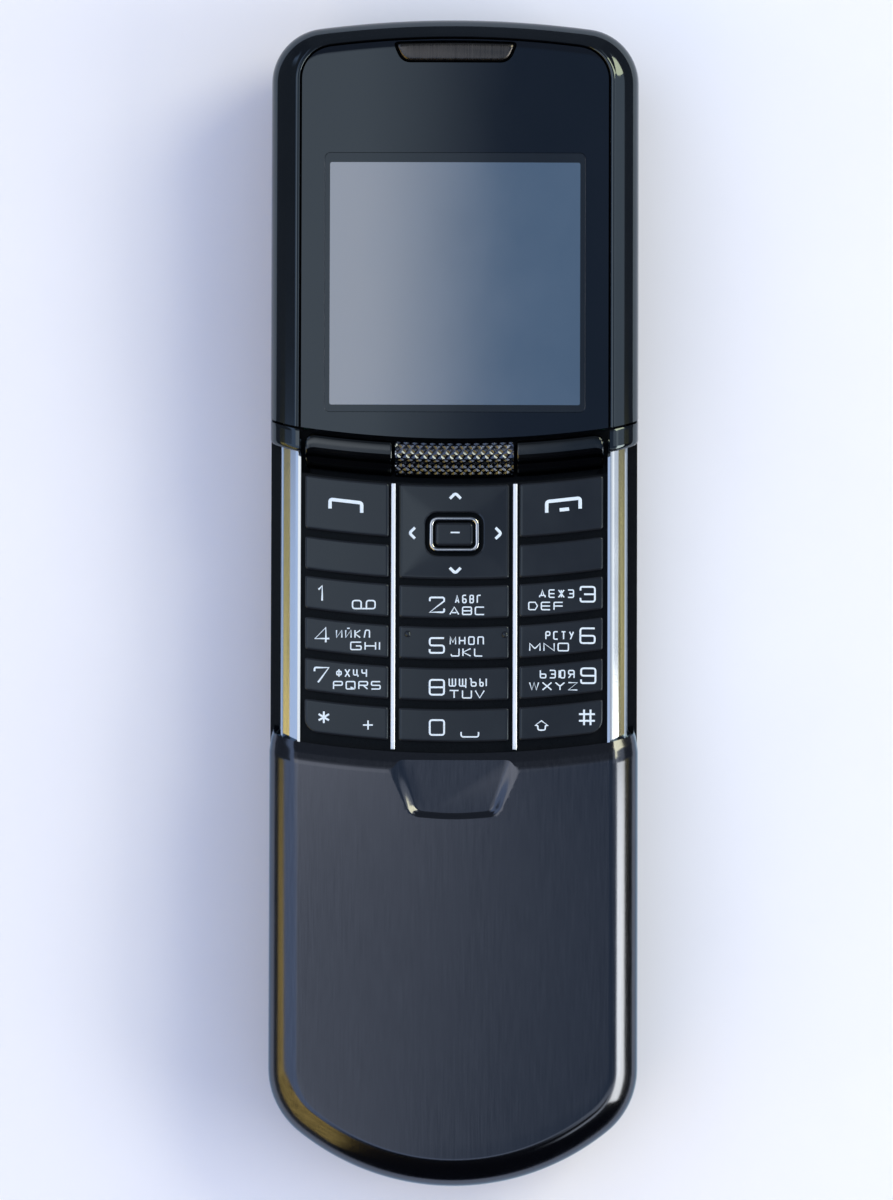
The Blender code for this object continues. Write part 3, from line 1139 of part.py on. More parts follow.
def make_chin_parts():
    """Charging socket and microphone, behind the chin's wall."""
    back = TRAY_FLOOR + FIT_GAP
    front_y = back + chin_wall_y(abs(SOCKET_X) + SOCKET_RADIUS, SOCKET_Z - SOCKET_RADIUS)
    body = cylinder(SOCKET_RADIUS, SOCKET_LENGTH, ALONG_Y, (SOCKET_X, front_y + SOCKET_LENGTH / 2, SOCKET_Z))
    socket = add_part("charge_socket", body, SHIELD_TIN, SLIDER)
    bore = cylinder(SOCKET_BORE_RADIUS, 2 * SOCKET_BORE_LENGTH, ALONG_Y, (SOCKET_X, front_y, SOCKET_Z))
    cut(socket, add_cutter("socket_bore", bore))
    front_y = back + chin_wall_y(MICROPHONE_X + MICROPHONE_RADIUS, SOCKET_Z - MICROPHONE_RADIUS)
    middle = (MICROPHONE_X, front_y + MICROPHONE_LENGTH / 2, SOCKET_Z)
    capsule = cylinder(MICROPHONE_RADIUS, MICROPHONE_LENGTH, ALONG_Y, middle)
    add_part("microphone", capsule, SHIELD_TIN, SLIDER)


make_upper_housing()
make_display_window()
make_earpiece()
make_collar()
make_top_cap()
make_power_key()
make_chassis()
make_back_shell()
make_camera()
make_sounders()
make_display()
make_main_board()
make_chrome_rails()
make_keys()
make_nav_cluster()
make_soft_keys()
make_dividers()
make_keypad_frame()
make_mat_and_board()
make_tray()
make_battery_cover()
make_release_button()
make_battery()
make_slide_rails()
make_front_cover()
make_chin_parts()
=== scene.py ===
"""The looks of a slider phone, lying open on its back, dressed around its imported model.

Units are metres. X runs across the phone, +Y toward the earpiece, +Z up from the table. Every piece
is made in place in the model's own frame, and its sizes follow the model's named measures.
"""

import math

import bmesh
import bpy
from mathutils import Matrix, Vector


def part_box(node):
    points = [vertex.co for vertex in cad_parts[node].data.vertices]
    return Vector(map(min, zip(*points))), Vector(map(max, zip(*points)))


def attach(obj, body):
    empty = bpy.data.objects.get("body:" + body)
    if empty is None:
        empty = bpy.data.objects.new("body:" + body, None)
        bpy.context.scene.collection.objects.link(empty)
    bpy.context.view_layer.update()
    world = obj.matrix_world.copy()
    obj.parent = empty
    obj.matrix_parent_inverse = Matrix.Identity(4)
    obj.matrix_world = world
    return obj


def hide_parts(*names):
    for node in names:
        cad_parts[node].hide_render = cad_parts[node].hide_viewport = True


MM = 0.001
# Degrees: an upright side, and the angle past which an edge is sharp
UPRIGHT = 90.0
CREASE = 32.0
SHARP_CREASE = 9.0
# Steps: of the search for a value, of a plain rectangle's corners, and of a key's corners and long sides
HALVINGS = 40
RECTANGLE_STEPS = 6
KEY_CORNER_STEPS = 5
KEY_SIDE_STEPS = 6

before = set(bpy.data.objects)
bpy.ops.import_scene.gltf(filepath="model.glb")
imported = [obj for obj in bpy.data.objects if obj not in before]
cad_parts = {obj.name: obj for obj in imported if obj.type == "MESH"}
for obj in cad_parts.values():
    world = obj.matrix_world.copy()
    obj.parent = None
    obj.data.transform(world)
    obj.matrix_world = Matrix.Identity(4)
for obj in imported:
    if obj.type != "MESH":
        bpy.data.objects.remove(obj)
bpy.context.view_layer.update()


def edge(node, axis, high):
    """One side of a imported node's box: axis 0, 1 or 2, its high or its low side."""
    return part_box(node)[1 if high else 0][axis]


# The whole phone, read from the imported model
HALF_WIDTH = edge("rear_tray", 0, True)
THICKNESS = edge("display_window", 2, True)
TOP_Y = edge("upper_housing", 1, True)
CHIN_Y = edge("front_cover", 1, False)
SEAM_TOP_Z = edge("front_cover", 2, False)
SEAM_LOW_Z = edge("rear_tray", 2, True)
PARTING_HEIGHT = (SEAM_TOP_Z + SEAM_LOW_Z) / 2

# Curves that the phone's shells share
TOP_ARC_RADIUS = 127.0 * MM
TOP_CORNER_RADIUS = 6.8 * MM
CHIN_ARC_RADIUS = 30.0 * MM
CHIN_CORNER_RADIUS = 9.8 * MM
BACK_SHOULDER_IN = 6.5 * MM
SMILE_RADIUS = 129.0 * MM
EDGE_LEAN_SHARE = 0.2
FRONT_CROWN = 0.35 * MM
FIT_GAP = 0.25 * MM
SEAM_GAP = 0.3 * MM
HAIRLINE = 0.05 * MM
OVERRUN = 2.0 * MM
MERGE = 0.0001 * MM
WELD = 0.001 * MM

# The front shoulder, from the side up: each arc has a radius and the tilt at which the next one starts
SHOULDER_ARCS = ((8.0 * MM, 80.0), (1.9 * MM, 47.0), (6.2 * MM, 24.0), (2.5 * MM, 0.0))

# Front pieces
HOUSING_EDGE_Y = 19.7 * MM
COLLAR_EDGE_Y = 16.7 * MM
COVER_EDGE_Y = -18.6 * MM
FRONT_WALL = 0.95 * MM
GLASS_HALF_WIDTH = 18.7 * MM
GLASS_TOP_MARGIN = 2.75 * MM
GLASS_CORNER_RADIUS = 4.0 * MM
GLASS_THICKNESS = 1.0 * MM
GLASS_TOP_Y = TOP_Y - GLASS_TOP_MARGIN


def smile(x):
    """How far the curved edges rise toward the sides."""
    return SMILE_RADIUS - math.sqrt(SMILE_RADIUS * SMILE_RADIUS - x * x)


def crown_drop(x, z):
    """How far the gently crowned front lies under its middle height."""
    rise = (z - PARTING_HEIGHT) / (THICKNESS - PARTING_HEIGHT)
    return FRONT_CROWN * (x / HALF_WIDTH) ** 2 * max(0.0, min(1.0, rise))


def shoulder_point(tilt):
    """Inset and height of the front shoulder where its surface tilts this many degrees."""
    inset = 0.0
    below_top = 0.0
    start = UPRIGHT
    for radius, stop in SHOULDER_ARCS:
        low = max(stop, min(start, tilt))
        inset += radius * (math.sin(math.radians(start)) - math.sin(math.radians(low)))
        below_top += radius * (math.cos(math.radians(stop)) - math.cos(math.radians(low)))
        start = stop
    return inset, THICKNESS - below_top


FLAT_INSET = shoulder_point(0.0)[0]


def halve(low, high, still_low):
    """Narrows a range by halves, to where a test stops holding."""
    for _ in range(HALVINGS):
        middle = (low + high) / 2
        if still_low(middle):
            low = middle
        else:
            high = middle
    return high


def tilt_at(inset):
    """The shoulder's tilt at an inset from the side."""
    return halve(0.0, UPRIGHT, lambda tilt: shoulder_point(tilt)[0] > inset)


def front_height(inset):
    """Height of the phone's front at a distance inside its outline."""
    if inset >= FLAT_INSET:
        return THICKNESS
    return shoulder_point(tilt_at(max(0.0, inset)))[1]


def add(name, data):
    """Puts an object into the scene."""
    made = bpy.data.objects.new(name, data)
    bpy.context.scene.collection.objects.link(made)
    return made


def place(name, bm):
    """Puts a mesh into the scene, in world coordinates."""
    mesh = bpy.data.meshes.new(name)
    bm.to_mesh(mesh)
    bm.free()
    return add(name, mesh)


def link(name, bm, material, body, slot, *nodes):
    """Makes a piece from a mesh. It rides on a body and may stand for nodes."""
    made = place(name, bm)
    made.data.materials.append(material)
    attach(made, body)
    if nodes:
        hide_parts(*nodes)
    return made


def applied_mesh(made):
    """A piece's mesh with its modifiers applied."""
    bpy.context.view_layer.update()
    graph = bpy.context.evaluated_depsgraph_get()
    return bpy.data.meshes.new_from_object(made.evaluated_get(graph))


def settle(made, crease=CREASE):
    """Applies the modifiers and shades the mesh smooth, with sharp edges past an angle."""
    mesh = applied_mesh(made)
    made.modifiers.clear()
    made.data = mesh
    mesh.shade_smooth()
    mesh.set_sharp_from_angle(angle=math.radians(crease))
    return made


def thicken(made, wall):
    """Turns an open skin whose faces point out into a shell, inward."""
    solidify = made.modifiers.new("wall", "SOLIDIFY")
    solidify.thickness = wall
    solidify.offset = -1
    solidify.use_even_offset = True
    solidify.use_quality_normals = True


def cut(made, bm):
    """Cuts a mesh away from a piece."""
    bmesh.ops.recalc_face_normals(bm, faces=bm.faces)
    tool = place("tool", bm)
    boolean = made.modifiers.new("cut", "BOOLEAN")
    boolean.operation = "DIFFERENCE"
    boolean.solver = "EXACT"
    boolean.object = tool
    made.data = applied_mesh(made)
    made.modifiers.clear()
    bpy.data.objects.remove(tool, do_unlink=True)


def quads(bm, rows, closed=False):
    """Faces between rows of equal count, wound so that they face right of the way the rows go."""
    made = [[bm.verts.new(point) for point in row] for row in rows]
    for low, high in zip(made, made[1:]):
        count = len(low)
        for index in range(count if closed else count - 1):
            following = (index + 1) % count
            bm.faces.new((low[index], low[following], high[following], high[index]))
    return made


def skin(rows, closed=False):
    bm = bmesh.new()
    quads(bm, rows, closed)
    return bm


def tub(rings):
    """An open tub from rings stacked from its floor up."""
    bm = bmesh.new()
    bm.faces.new(reversed(quads(bm, rings, True)[0]))
    return bm


def solid(rings):
    """A closed solid from rings that are stacked from one end to the other."""
    bm = bmesh.new()
    made = quads(bm, rings, True)
    bm.faces.new(reversed(made[0]))
    bm.faces.new(made[-1])
    bmesh.ops.recalc_face_normals(bm, faces=bm.faces)
    return bm


def split_across(bm, middle_x, half_x, strips):
    """Cuts a mesh into strips along the phone, so that it can follow the crown."""
    for strip in range(1, strips):
        x = middle_x + half_x * (2 * strip / strips - 1)
        geometry = bm.verts[:] + bm.edges[:] + bm.faces[:]
        bmesh.ops.bisect_plane(bm, geom=geometry, dist=MERGE, plane_co=(x, 0, 0), plane_no=(1, 0, 0))


def arc(centre_x, centre_y, radius, start, stop, steps):
    """Points on an arc, each with its outward normal."""
    points = []
    for step in range(steps + 1):
        angle = start + (stop - start) * step / steps
        normal = (math.cos(angle), math.sin(angle))
        points.append((centre_x + radius * normal[0], centre_y + radius * normal[1], *normal))
    return points


def circle(centre_x, centre_y, radius, sides):
    turns = [2 * math.pi * side / sides for side in range(sides)]
    return [(centre_x + radius * math.cos(turn), centre_y + radius * math.sin(turn)) for turn in turns]


def quarter_round(reach, drop, steps):
    """Insets and drops of a rounded edge, from its upright side up to its flat top."""
    turns = [math.pi / 2 * step / steps for step in range(steps + 1)]
    return [(reach * (1 - math.cos(turn)), drop * (1 - math.sin(turn))) for turn in turns]


def end_curve(reach, arc_radius, corner_radius, corner_steps, arc_steps, half_width=HALF_WIDTH):
    """An end of the phone from the +X side over the middle to the -X side, with outward normals."""
    corner_x = half_width - corner_radius
    arc_centre = reach - arc_radius
    rise = math.sqrt((arc_radius - corner_radius) ** 2 - corner_x ** 2)
    join = math.atan2(rise, corner_x)
    half = arc(corner_x, arc_centre + rise, corner_radius, 0, join, corner_steps)
    half += arc(0, arc_centre, arc_radius, join, math.pi / 2, arc_steps)[1:]
    return half + [(-x, y, -nx, ny) for x, y, nx, ny in reversed(half[:-1])]


def tilts_to(stop, count):
    """Tilts from the upright side down to a stop, in even steps."""
    return [UPRIGHT + (stop - UPRIGHT) * step / count for step in range(count + 1)]


def middle_of(node, axis):
    """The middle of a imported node's box along one axis."""
    low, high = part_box(node)
    return (low[axis] + high[axis]) / 2


def edge_y(base, x, z):
    """A curved, leaning edge of the front at this place."""
    return base + smile(x) + EDGE_LEAN_SHARE * (THICKNESS - z)


# Lower front cover
COVER_NEAR_ROWS = 34
COVER_NEAR_LENGTH = 9.2 * MM
COVER_FAR_ROWS = 22
COVER_CORNER_STEPS = 12
COVER_ARC_STEPS = 38
COVER_LEVELS = 18
EDGE_BEVEL_LENGTH = 0.95 * MM
EDGE_BEVEL_DROP = 0.3 * MM
EDGE_SLOPE_LENGTH = 1.4 * MM
EDGE_SLOPE_DROP = 0.2 * MM
# The thumb recess: corners of its rim and of its floor with their radii, from the upper left round
THUMB_RIM = ((-8.75 * MM, -18.90 * MM, 0.2 * MM), (-5.30 * MM, -26.30 * MM, 1.3 * MM),
             (0.0, -26.72 * MM, 5.0 * MM), (5.45 * MM, -26.30 * MM, 1.3 * MM),
             (8.95 * MM, -18.90 * MM, 0.2 * MM))
THUMB_FLOOR = ((-6.07 * MM, -19.00 * MM, 0.2 * MM), (-4.50 * MM, -25.55 * MM, 0.9 * MM),
               (0.0, -25.95 * MM, 4.0 * MM), (4.65 * MM, -25.55 * MM, 0.9 * MM),
               (6.27 * MM, -19.00 * MM, 0.2 * MM))
THUMB_DEPTH = 0.52 * MM
THUMB_TOP_DEPTH = 0.22 * MM
THUMB_RINGS = 8
THUMB_CORNER_STEPS = 7
THUMB_SIDE_STEPS = 5


def rounded_polygon(corners, corner_steps, side_steps):
    """A closed outline from corners with radii, with equal counts of points per corner and side."""
    points = []
    count = len(corners)
    for index, (x, y, radius) in enumerate(corners):
        before, after = corners[index - 1], corners[(index + 1) % count]
        to_before = Vector((before[0] - x, before[1] - y))
        to_after = Vector((after[0] - x, after[1] - y))
        cut_back = min(radius, to_before.length / 2, to_after.length / 2)
        start = Vector((x, y)) + to_before.normalized() * cut_back
        stop = Vector((x, y)) + to_after.normalized() * cut_back
        for step in range(corner_steps + 1):
            t = step / corner_steps
            bend = start * (1 - t) ** 2 + Vector((x, y)) * (2 * t * (1 - t)) + stop * t ** 2
            points.append(tuple(bend))
        following = Vector((after[0], after[1])) - to_after.normalized() * min(after[2], to_after.length / 2)
        for step in range(1, side_steps):
            points.append(tuple(stop.lerp(following, step / side_steps)))
    return points


def cover_edge_drop(distance):
    """How far the cover's leading edge is bevelled, at a distance from it."""
    if distance < EDGE_BEVEL_LENGTH:
        return EDGE_SLOPE_DROP + EDGE_BEVEL_DROP * (1 - distance / EDGE_BEVEL_LENGTH)
    share = (distance - EDGE_BEVEL_LENGTH) / EDGE_SLOPE_LENGTH
    return EDGE_SLOPE_DROP * max(0.0, 1 - share)


def eased(height, t):
    """A share of a height that eases in and out, level at both ends."""
    return height * t * t * (3 - 2 * t)


def thumb_tool():
    """A tapered block for the recess: soft slopes down to a floor that deepens away from the edge."""
    rim = rounded_polygon(THUMB_RIM, THUMB_CORNER_STEPS, THUMB_SIDE_STEPS)
    floor = rounded_polygon(THUMB_FLOOR, THUMB_CORNER_STEPS, THUMB_SIDE_STEPS)
    far_y, near_y = THUMB_FLOOR[0][1], THUMB_FLOOR[2][1]
    rings = []
    for ring in range(THUMB_RINGS + 1):
        t = 1 - ring / THUMB_RINGS
        level = []
        for (rim_x, rim_y), (floor_x, floor_y) in zip(rim, floor):
            share = max(0.0, min(1.0, (far_y - floor_y) / (far_y - near_y)))
            depth = THUMB_TOP_DEPTH + (THUMB_DEPTH - THUMB_TOP_DEPTH) * share
            x, y = rim_x + (floor_x - rim_x) * t, rim_y + (floor_y - rim_y) * t
            drop = crown_drop(x, THICKNESS) * (1 - t) + eased(depth, t)
            level.append((x, y, THICKNESS - drop))
        rings.append(level)
    rings.append([(x, y, THICKNESS + OVERRUN) for x, y in rim])
    return solid(rings)


def cover_row_y(row, x, z, low_y):
    """The rows keep their distance from the leading edge, and then spread down to the chin."""
    near_y = edge_y(COVER_EDGE_Y, x, z) - COVER_NEAR_LENGTH * min(row, COVER_NEAR_ROWS) / COVER_NEAR_ROWS
    share = max(0, row - COVER_NEAR_ROWS) / COVER_FAR_ROWS
    return near_y + (low_y - near_y) * share


def cover_point(x, y, z, tilt, side):
    """A point of the cover's skin, lowered along its normal at the leading edge."""
    distance = edge_y(COVER_EDGE_Y, x, z) - y
    drop = cover_edge_drop(distance)
    angle = math.radians(tilt)
    return (x - side * math.sin(angle) * drop, y, z - math.cos(angle) * drop - crown_drop(x, z))


def cover_skin():
    """The cover's upper surface: its flat front, and its shoulder round the sides and the chin."""
    chin = end_curve(-CHIN_Y, CHIN_ARC_RADIUS, CHIN_CORNER_RADIUS, COVER_CORNER_STEPS, COVER_ARC_STEPS)
    chin = [(-x, -y, -nx, -ny) for x, y, nx, ny in chin]
    rows = COVER_NEAR_ROWS + COVER_FAR_ROWS
    bm = bmesh.new()
    grid = []
    for row in reversed(range(rows + 1)):
        line = []
        for x, y, nx, ny in chin:
            column_x = x - nx * FLAT_INSET
            row_y = cover_row_y(row, column_x, THICKNESS, y - ny * FLAT_INSET)
            line.append(cover_point(column_x, row_y, THICKNESS, 0.0, 0))
        grid.append(line)
    quads(bm, grid)
    levels = [(0.0, SEAM_TOP_Z, UPRIGHT), (0.0, SEAM_TOP_Z + SEAM_GAP, UPRIGHT)]
    levels += [(*shoulder_point(tilt), tilt) for tilt in tilts_to(0.0, COVER_LEVELS)]
    rings = []
    for inset, z, tilt in levels:
        side_x = HALF_WIDTH - inset
        ys = [cover_row_y(row, side_x, z, chin[0][1]) for row in range(rows + 1)]
        left = [cover_point(-side_x, y, z, tilt, -1) for y in ys]
        right = [cover_point(side_x, y, z, tilt, 1) for y in reversed(ys)]
        around = [(x - nx * inset, y - ny * inset, z - crown_drop(x - nx * inset, z))
                  for x, y, nx, ny in chin[1:-1]]
        rings.append(left + around + right)
    quads(bm, rings)
    bmesh.ops.remove_doubles(bm, verts=bm.verts, dist=WELD)
    return bm


def make_front_cover():
    cover = link("cover_shell", cover_skin(), BRUSHED_COVER, "slider", "brushed_cover", "front_cover")
    thicken(cover, FRONT_WALL)
    cut(cover, thumb_tool())
    return settle(cover, SHARP_CREASE)


# Upper housing: the skin from the seam up to the glass, with a rounded bead along the glass
HOUSING_SIDE_ROWS = 30
HOUSING_CORNER_STEPS = 14
HOUSING_ARC_STEPS = 16
BEAD_WIDTH = 0.85 * MM
BEAD_HEIGHT = 0.10 * MM
LIP_RADIUS = 0.12 * MM
LIP_DEPTH = 0.7 * MM
LIP_STEPS = 3
HOUSING_LEVELS = 24


def top_outline():
    return end_curve(TOP_Y, TOP_ARC_RADIUS, TOP_CORNER_RADIUS, HOUSING_CORNER_STEPS, HOUSING_ARC_STEPS)


def rounded_depth(x, y, half, corner, reach, arc_radius):
    """Distance inside an end shape with straight sides, a corner arc and a wide arc."""
    x = abs(x)
    arc_centre = reach - arc_radius
    corner_x = half - corner
    rise = math.sqrt((arc_radius - corner) ** 2 - corner_x ** 2)
    corner_y = arc_centre + rise
    from_arc = math.atan2(y - arc_centre, x)
    if y > corner_y and x > corner_x and from_arc < math.atan2(rise, corner_x):
        return corner - math.hypot(x - corner_x, y - corner_y)
    if y > corner_y or from_arc > math.atan2(rise, corner_x):
        return min(half - x, arc_radius - math.hypot(x, y - arc_centre))
    return half - x


def outline_depth(x, y):
    """Distance of a place on the handset's front inside the phone's outline."""
    return rounded_depth(x, y, HALF_WIDTH, TOP_CORNER_RADIUS, TOP_Y, TOP_ARC_RADIUS)


def glass_depth(x, y, margin):
    return rounded_depth(x, y, GLASS_HALF_WIDTH + margin, GLASS_CORNER_RADIUS + margin,
                         GLASS_TOP_Y + margin, TOP_ARC_RADIUS - GLASS_TOP_MARGIN + margin)


def inset_to_glass(x, y, nx, ny, margin):
    """How far inside the outline the glass opening starts, along this normal."""
    return halve(0.0, 2 * FLAT_INSET,
                 lambda inset: glass_depth(x - nx * inset, y - ny * inset, margin) < 0)


def bead(distance):
    """Height of the rounded bead at a distance from the glass opening."""
    share = max(0.0, min(1.0, distance / BEAD_WIDTH))
    return BEAD_HEIGHT * math.sin(math.pi * share) ** 2


def housing_levels(stop_inset):
    """Insets and heights from the seam up the shoulder and over the lip at the glass."""
    stop_tilt = tilt_at(stop_inset - LIP_RADIUS) if stop_inset < FLAT_INSET else 0.0
    levels = [(0.0, SEAM_TOP_Z), (0.0, SEAM_TOP_Z + SEAM_GAP)]
    levels += [shoulder_point(tilt) for tilt in tilts_to(stop_tilt, HOUSING_LEVELS)]
    if stop_inset >= FLAT_INSET:
        levels[-1] = (stop_inset - LIP_RADIUS, THICKNESS)
    top_z = levels[-1][1]
    for drop, back in quarter_round(LIP_RADIUS, LIP_RADIUS, LIP_STEPS)[1:]:
        levels.append((stop_inset - back, top_z - drop))
    return levels + [(stop_inset, top_z - LIP_DEPTH)]


def housing_skin():
    """The housing's surface in columns, each from the seam up to the glass."""
    around = top_outline()
    first_y = around[0][1]
    shares = [step / HOUSING_SIDE_ROWS for step in range(HOUSING_SIDE_ROWS)]
    stations = [(HALF_WIDTH, None, 1.0, 0.0, share) for share in shares]
    stations += [(*point, None) for point in around]
    stations += [(-HALF_WIDTH, None, -1.0, 0.0, share) for share in reversed(shares)]
    columns = []
    for x, y, nx, ny, share in stations:
        at_end = share is None
        stop_inset = HALF_WIDTH - GLASS_HALF_WIDTH - FIT_GAP
        if at_end:
            stop_inset = inset_to_glass(x, y, nx, ny, FIT_GAP)
        column = []
        for inset, z in housing_levels(stop_inset):
            px = x - nx * inset
            if at_end:
                py = y - ny * inset
            else:
                low_y = edge_y(HOUSING_EDGE_Y, px, z)
                py = low_y + (first_y - low_y) * share
            column.append((px, py, z + bead(stop_inset - inset) - crown_drop(px, z)))
        columns.append(column)
    return skin([list(ring) for ring in zip(*columns)])


def make_housing():
    housing = link("housing_shell", housing_skin(), BLACK_METAL, "handset", "black_metal", "upper_housing")
    thicken(housing, FRONT_WALL / 2)
    return settle(housing)


# Bezel glass with the display's window and the earpiece slot
GLASS_ROWS = 44
GLASS_CORNER_STEPS = 12
GLASS_ARC_STEPS = 26
WINDOW_HALF = 15.9 * MM
WINDOW_LOW_Y = 22.9 * MM
WINDOW_HIGH_Y = 54.6 * MM
WINDOW_CORNER = 0.7 * MM
ACTIVE_SIDE = 0.6 * MM
ACTIVE_TOP = 1.2 * MM
ACTIVE_LOW = 0.9 * MM
ACTIVE_CORNER = WINDOW_CORNER / 3
PANE_STRIPS = 12
EARPIECE_HALF = 7.4 * MM
SLOT_SIDE = 0.30 * MM
SLOT_TOP = 0.15 * MM


def glass_height(x, y):
    return front_height(outline_depth(x, y)) - crown_drop(x, THICKNESS)


def glass_skin():
    """The glass's upper surface, with rows that draw together toward its top end."""
    top = end_curve(GLASS_TOP_Y, TOP_ARC_RADIUS - GLASS_TOP_MARGIN, GLASS_CORNER_RADIUS, GLASS_CORNER_STEPS,
                    GLASS_ARC_STEPS, GLASS_HALF_WIDTH)
    rows = []
    for row in range(GLASS_ROWS + 1):
        share = math.sin(row / GLASS_ROWS * math.pi / 2)
        line = []
        for x, high_y, *_ in top:
            low_y = HOUSING_EDGE_Y + smile(x)
            y = low_y + (high_y - low_y) * share
            line.append((-x, y, glass_height(x, y)))
        rows.append(line)
    return skin(rows)


def rounded_outline(half_x, half_y, corners, centre, steps=KEY_CORNER_STEPS, along=KEY_SIDE_STEPS):
    """A rectangle with four corner radii, from its +X +Y corner round; its long sides carry extra points."""
    points = []
    signs = ((1, 1), (-1, 1), (-1, -1), (1, -1))
    for turn, ((side_x, side_y), corner) in enumerate(zip(signs, corners)):
        corner_x = centre[0] + side_x * (half_x - corner)
        corner_y = centre[1] + side_y * (half_y - corner)
        start = turn * math.pi / 2
        bend = [(x, y) for x, y, *_ in arc(corner_x, corner_y, corner, start, start + math.pi / 2, steps)]
        if turn in (1, 3):
            last_x, last_y = points[-1]
            for step in range(1, along):
                points.append((last_x + (bend[0][0] - last_x) * step / along, last_y))
        points += bend
    return points


def rounded_rectangle(half_x, half_y, corner, centre_x, centre_y):
    return rounded_outline(half_x, half_y, [corner] * 4, (centre_x, centre_y), RECTANGLE_STEPS, 1)


def prism(points, low, high):
    """A straight solid over a closed outline."""
    return solid([[(x, y, z) for x, y in points] for z in (low, high)])


def make_window(middle_y, half_y):
    """The bezel glass, with a real opening for the display's pane and a slot for the earpiece bar."""
    window = link("bezel_glass", glass_skin(), BEZEL_GLASS, "handset", "bezel_glass", "display_window")
    thicken(window, GLASS_THICKNESS)
    low, high = THICKNESS - GLASS_THICKNESS - OVERRUN, THICKNESS + OVERRUN
    cut(window, prism(rounded_rectangle(WINDOW_HALF, half_y, WINDOW_CORNER, 0, middle_y), low, high))
    cut(window, prism(earpiece_outline(SLOT_SIDE, SLOT_TOP), low, high))
    settle(window)


def make_pane(middle_y, half_y):
    """The display's pane: a dark border round the active area."""
    half = WINDOW_HALF - HAIRLINE
    ring = rounded_rectangle(half, half_y - HAIRLINE, WINDOW_CORNER - HAIRLINE, 0, middle_y)
    low_y, high_y = WINDOW_LOW_Y + ACTIVE_LOW, WINDOW_HIGH_Y - ACTIVE_TOP
    inner = rounded_rectangle(half - ACTIVE_SIDE, (high_y - low_y) / 2, ACTIVE_CORNER, 0,
                              (low_y + high_y) / 2)
    top = THICKNESS - HAIRLINE / 2
    levels = [(ring, THICKNESS - GLASS_THICKNESS), (ring, top), (inner, top)]
    pane = solid([[(x, y, z) for x, y in outline] for outline, z in levels])
    split_across(pane, 0.0, half, PANE_STRIPS)
    for face in pane.faces:
        middle = face.calc_center_median()
        shown = abs(middle.x) < half - ACTIVE_SIDE and low_y < middle.y < high_y and middle.z > top - MERGE
        face.material_index = 1 if shown else 0
    for vert in pane.verts:
        vert.co.z -= crown_drop(vert.co.x, vert.co.z)
    screen = link("display_pane", pane, DISPLAY_BORDER, "handset", "display_panel")
    screen.data.materials.append(DISPLAY_ACTIVE)
    settle(screen)


def make_glass():
    middle_y = (WINDOW_LOW_Y + WINDOW_HIGH_Y) / 2
    half_y = (WINDOW_HIGH_Y - WINDOW_LOW_Y) / 2
    make_window(middle_y, half_y)
    make_pane(middle_y, half_y)


# Finishes: tints of reflections, then pattern scales in cycles per metre along X, Y and Z
COOL_TINT = (0.70, 0.88, 1.0)
PLAIN_TINT = (1.0, 1.0, 1.0)
BRUSH_SCALE = (9000.0, 220.0, 9000.0)
SMUDGE_SCALE = (90.0, 60.0, 90.0)
GRAIN_SCALE = (9000.0, 9000.0, 9000.0)
FINE_SCALE = (2500.0, 2500.0, 2500.0)
# A pattern's values in this range run from the darker tone to the lighter one, and the roughness between
# two shares of its plain value
PATTERN_RANGE = (0.3, 0.7)
# Each noise's detail and roughness
PLAIN_NOISE = (4.0, 0.55)
SMUDGE_NOISE = (6.0, 0.65)
BRUSH_NOISE = (3.0, 0.6)
GRAIN_NOISE = (2.0, 0.55)
MOTTLE_NOISE = (6.0, 0.6)
GLOSSY_SHARES = (0.8, 1.5)
BRUSHED_SHARES = (0.85, 1.2)
MOULDED_SHARES = (0.85, 1.15)
CAST_SHARES = (0.8, 1.25)
# Bumps: their distance and strength
BRUSH_BUMP = (0.002 * MM, 0.20)
MOULDED_BUMP = (0.01 * MM, 0.3)
CAST_BUMP = (0.01 * MM, 0.25)
COATED_IOR = 1.93


def node_material(name, colour, roughness, metallic, specular=0.5):
    """A Principled material whose plain values sit on the shader's own sockets."""
    made = bpy.data.materials.new(name)
    made.use_nodes = True
    shader = made.node_tree.nodes["Principled BSDF"]
    shader.inputs["Base Color"].default_value = (*colour, 1.0)
    shader.inputs["Roughness"].default_value = roughness
    shader.inputs["Metallic"].default_value = metallic
    shader.inputs["Specular IOR Level"].default_value = specular
    shader.inputs["Specular Tint"].default_value = (*COOL_TINT, 1.0)
    return made, made.node_tree, shader


def noise(tree, scale, kind=PLAIN_NOISE):
    """A noise pattern in object coordinates, scaled by axis."""
    source = tree.nodes.new("ShaderNodeTexCoord")
    mapping = tree.nodes.new("ShaderNodeMapping")
    mapping.inputs["Scale"].default_value = scale
    tree.links.new(source.outputs["Object"], mapping.inputs["Vector"])
    made = tree.nodes.new("ShaderNodeTexNoise")
    made.inputs["Scale"].default_value = 1.0
    made.inputs["Detail"].default_value, made.inputs["Roughness"].default_value = kind
    tree.links.new(mapping.outputs["Vector"], made.inputs["Vector"])
    return made.outputs["Fac"]


def spread(tree, value, roughness, shares, shader):
    """Drives the roughness with a pattern, between two shares of its plain value."""
    ranged = tree.nodes.new("ShaderNodeMapRange")
    ranged.inputs["From Min"].default_value = PATTERN_RANGE[0]
    ranged.inputs["From Max"].default_value = PATTERN_RANGE[1]
    ranged.inputs["To Min"].default_value = roughness * shares[0]
    ranged.inputs["To Max"].default_value = roughness * shares[1]
    tree.links.new(value, ranged.inputs["Value"])
    tree.links.new(ranged.outputs["Result"], shader.inputs["Roughness"])


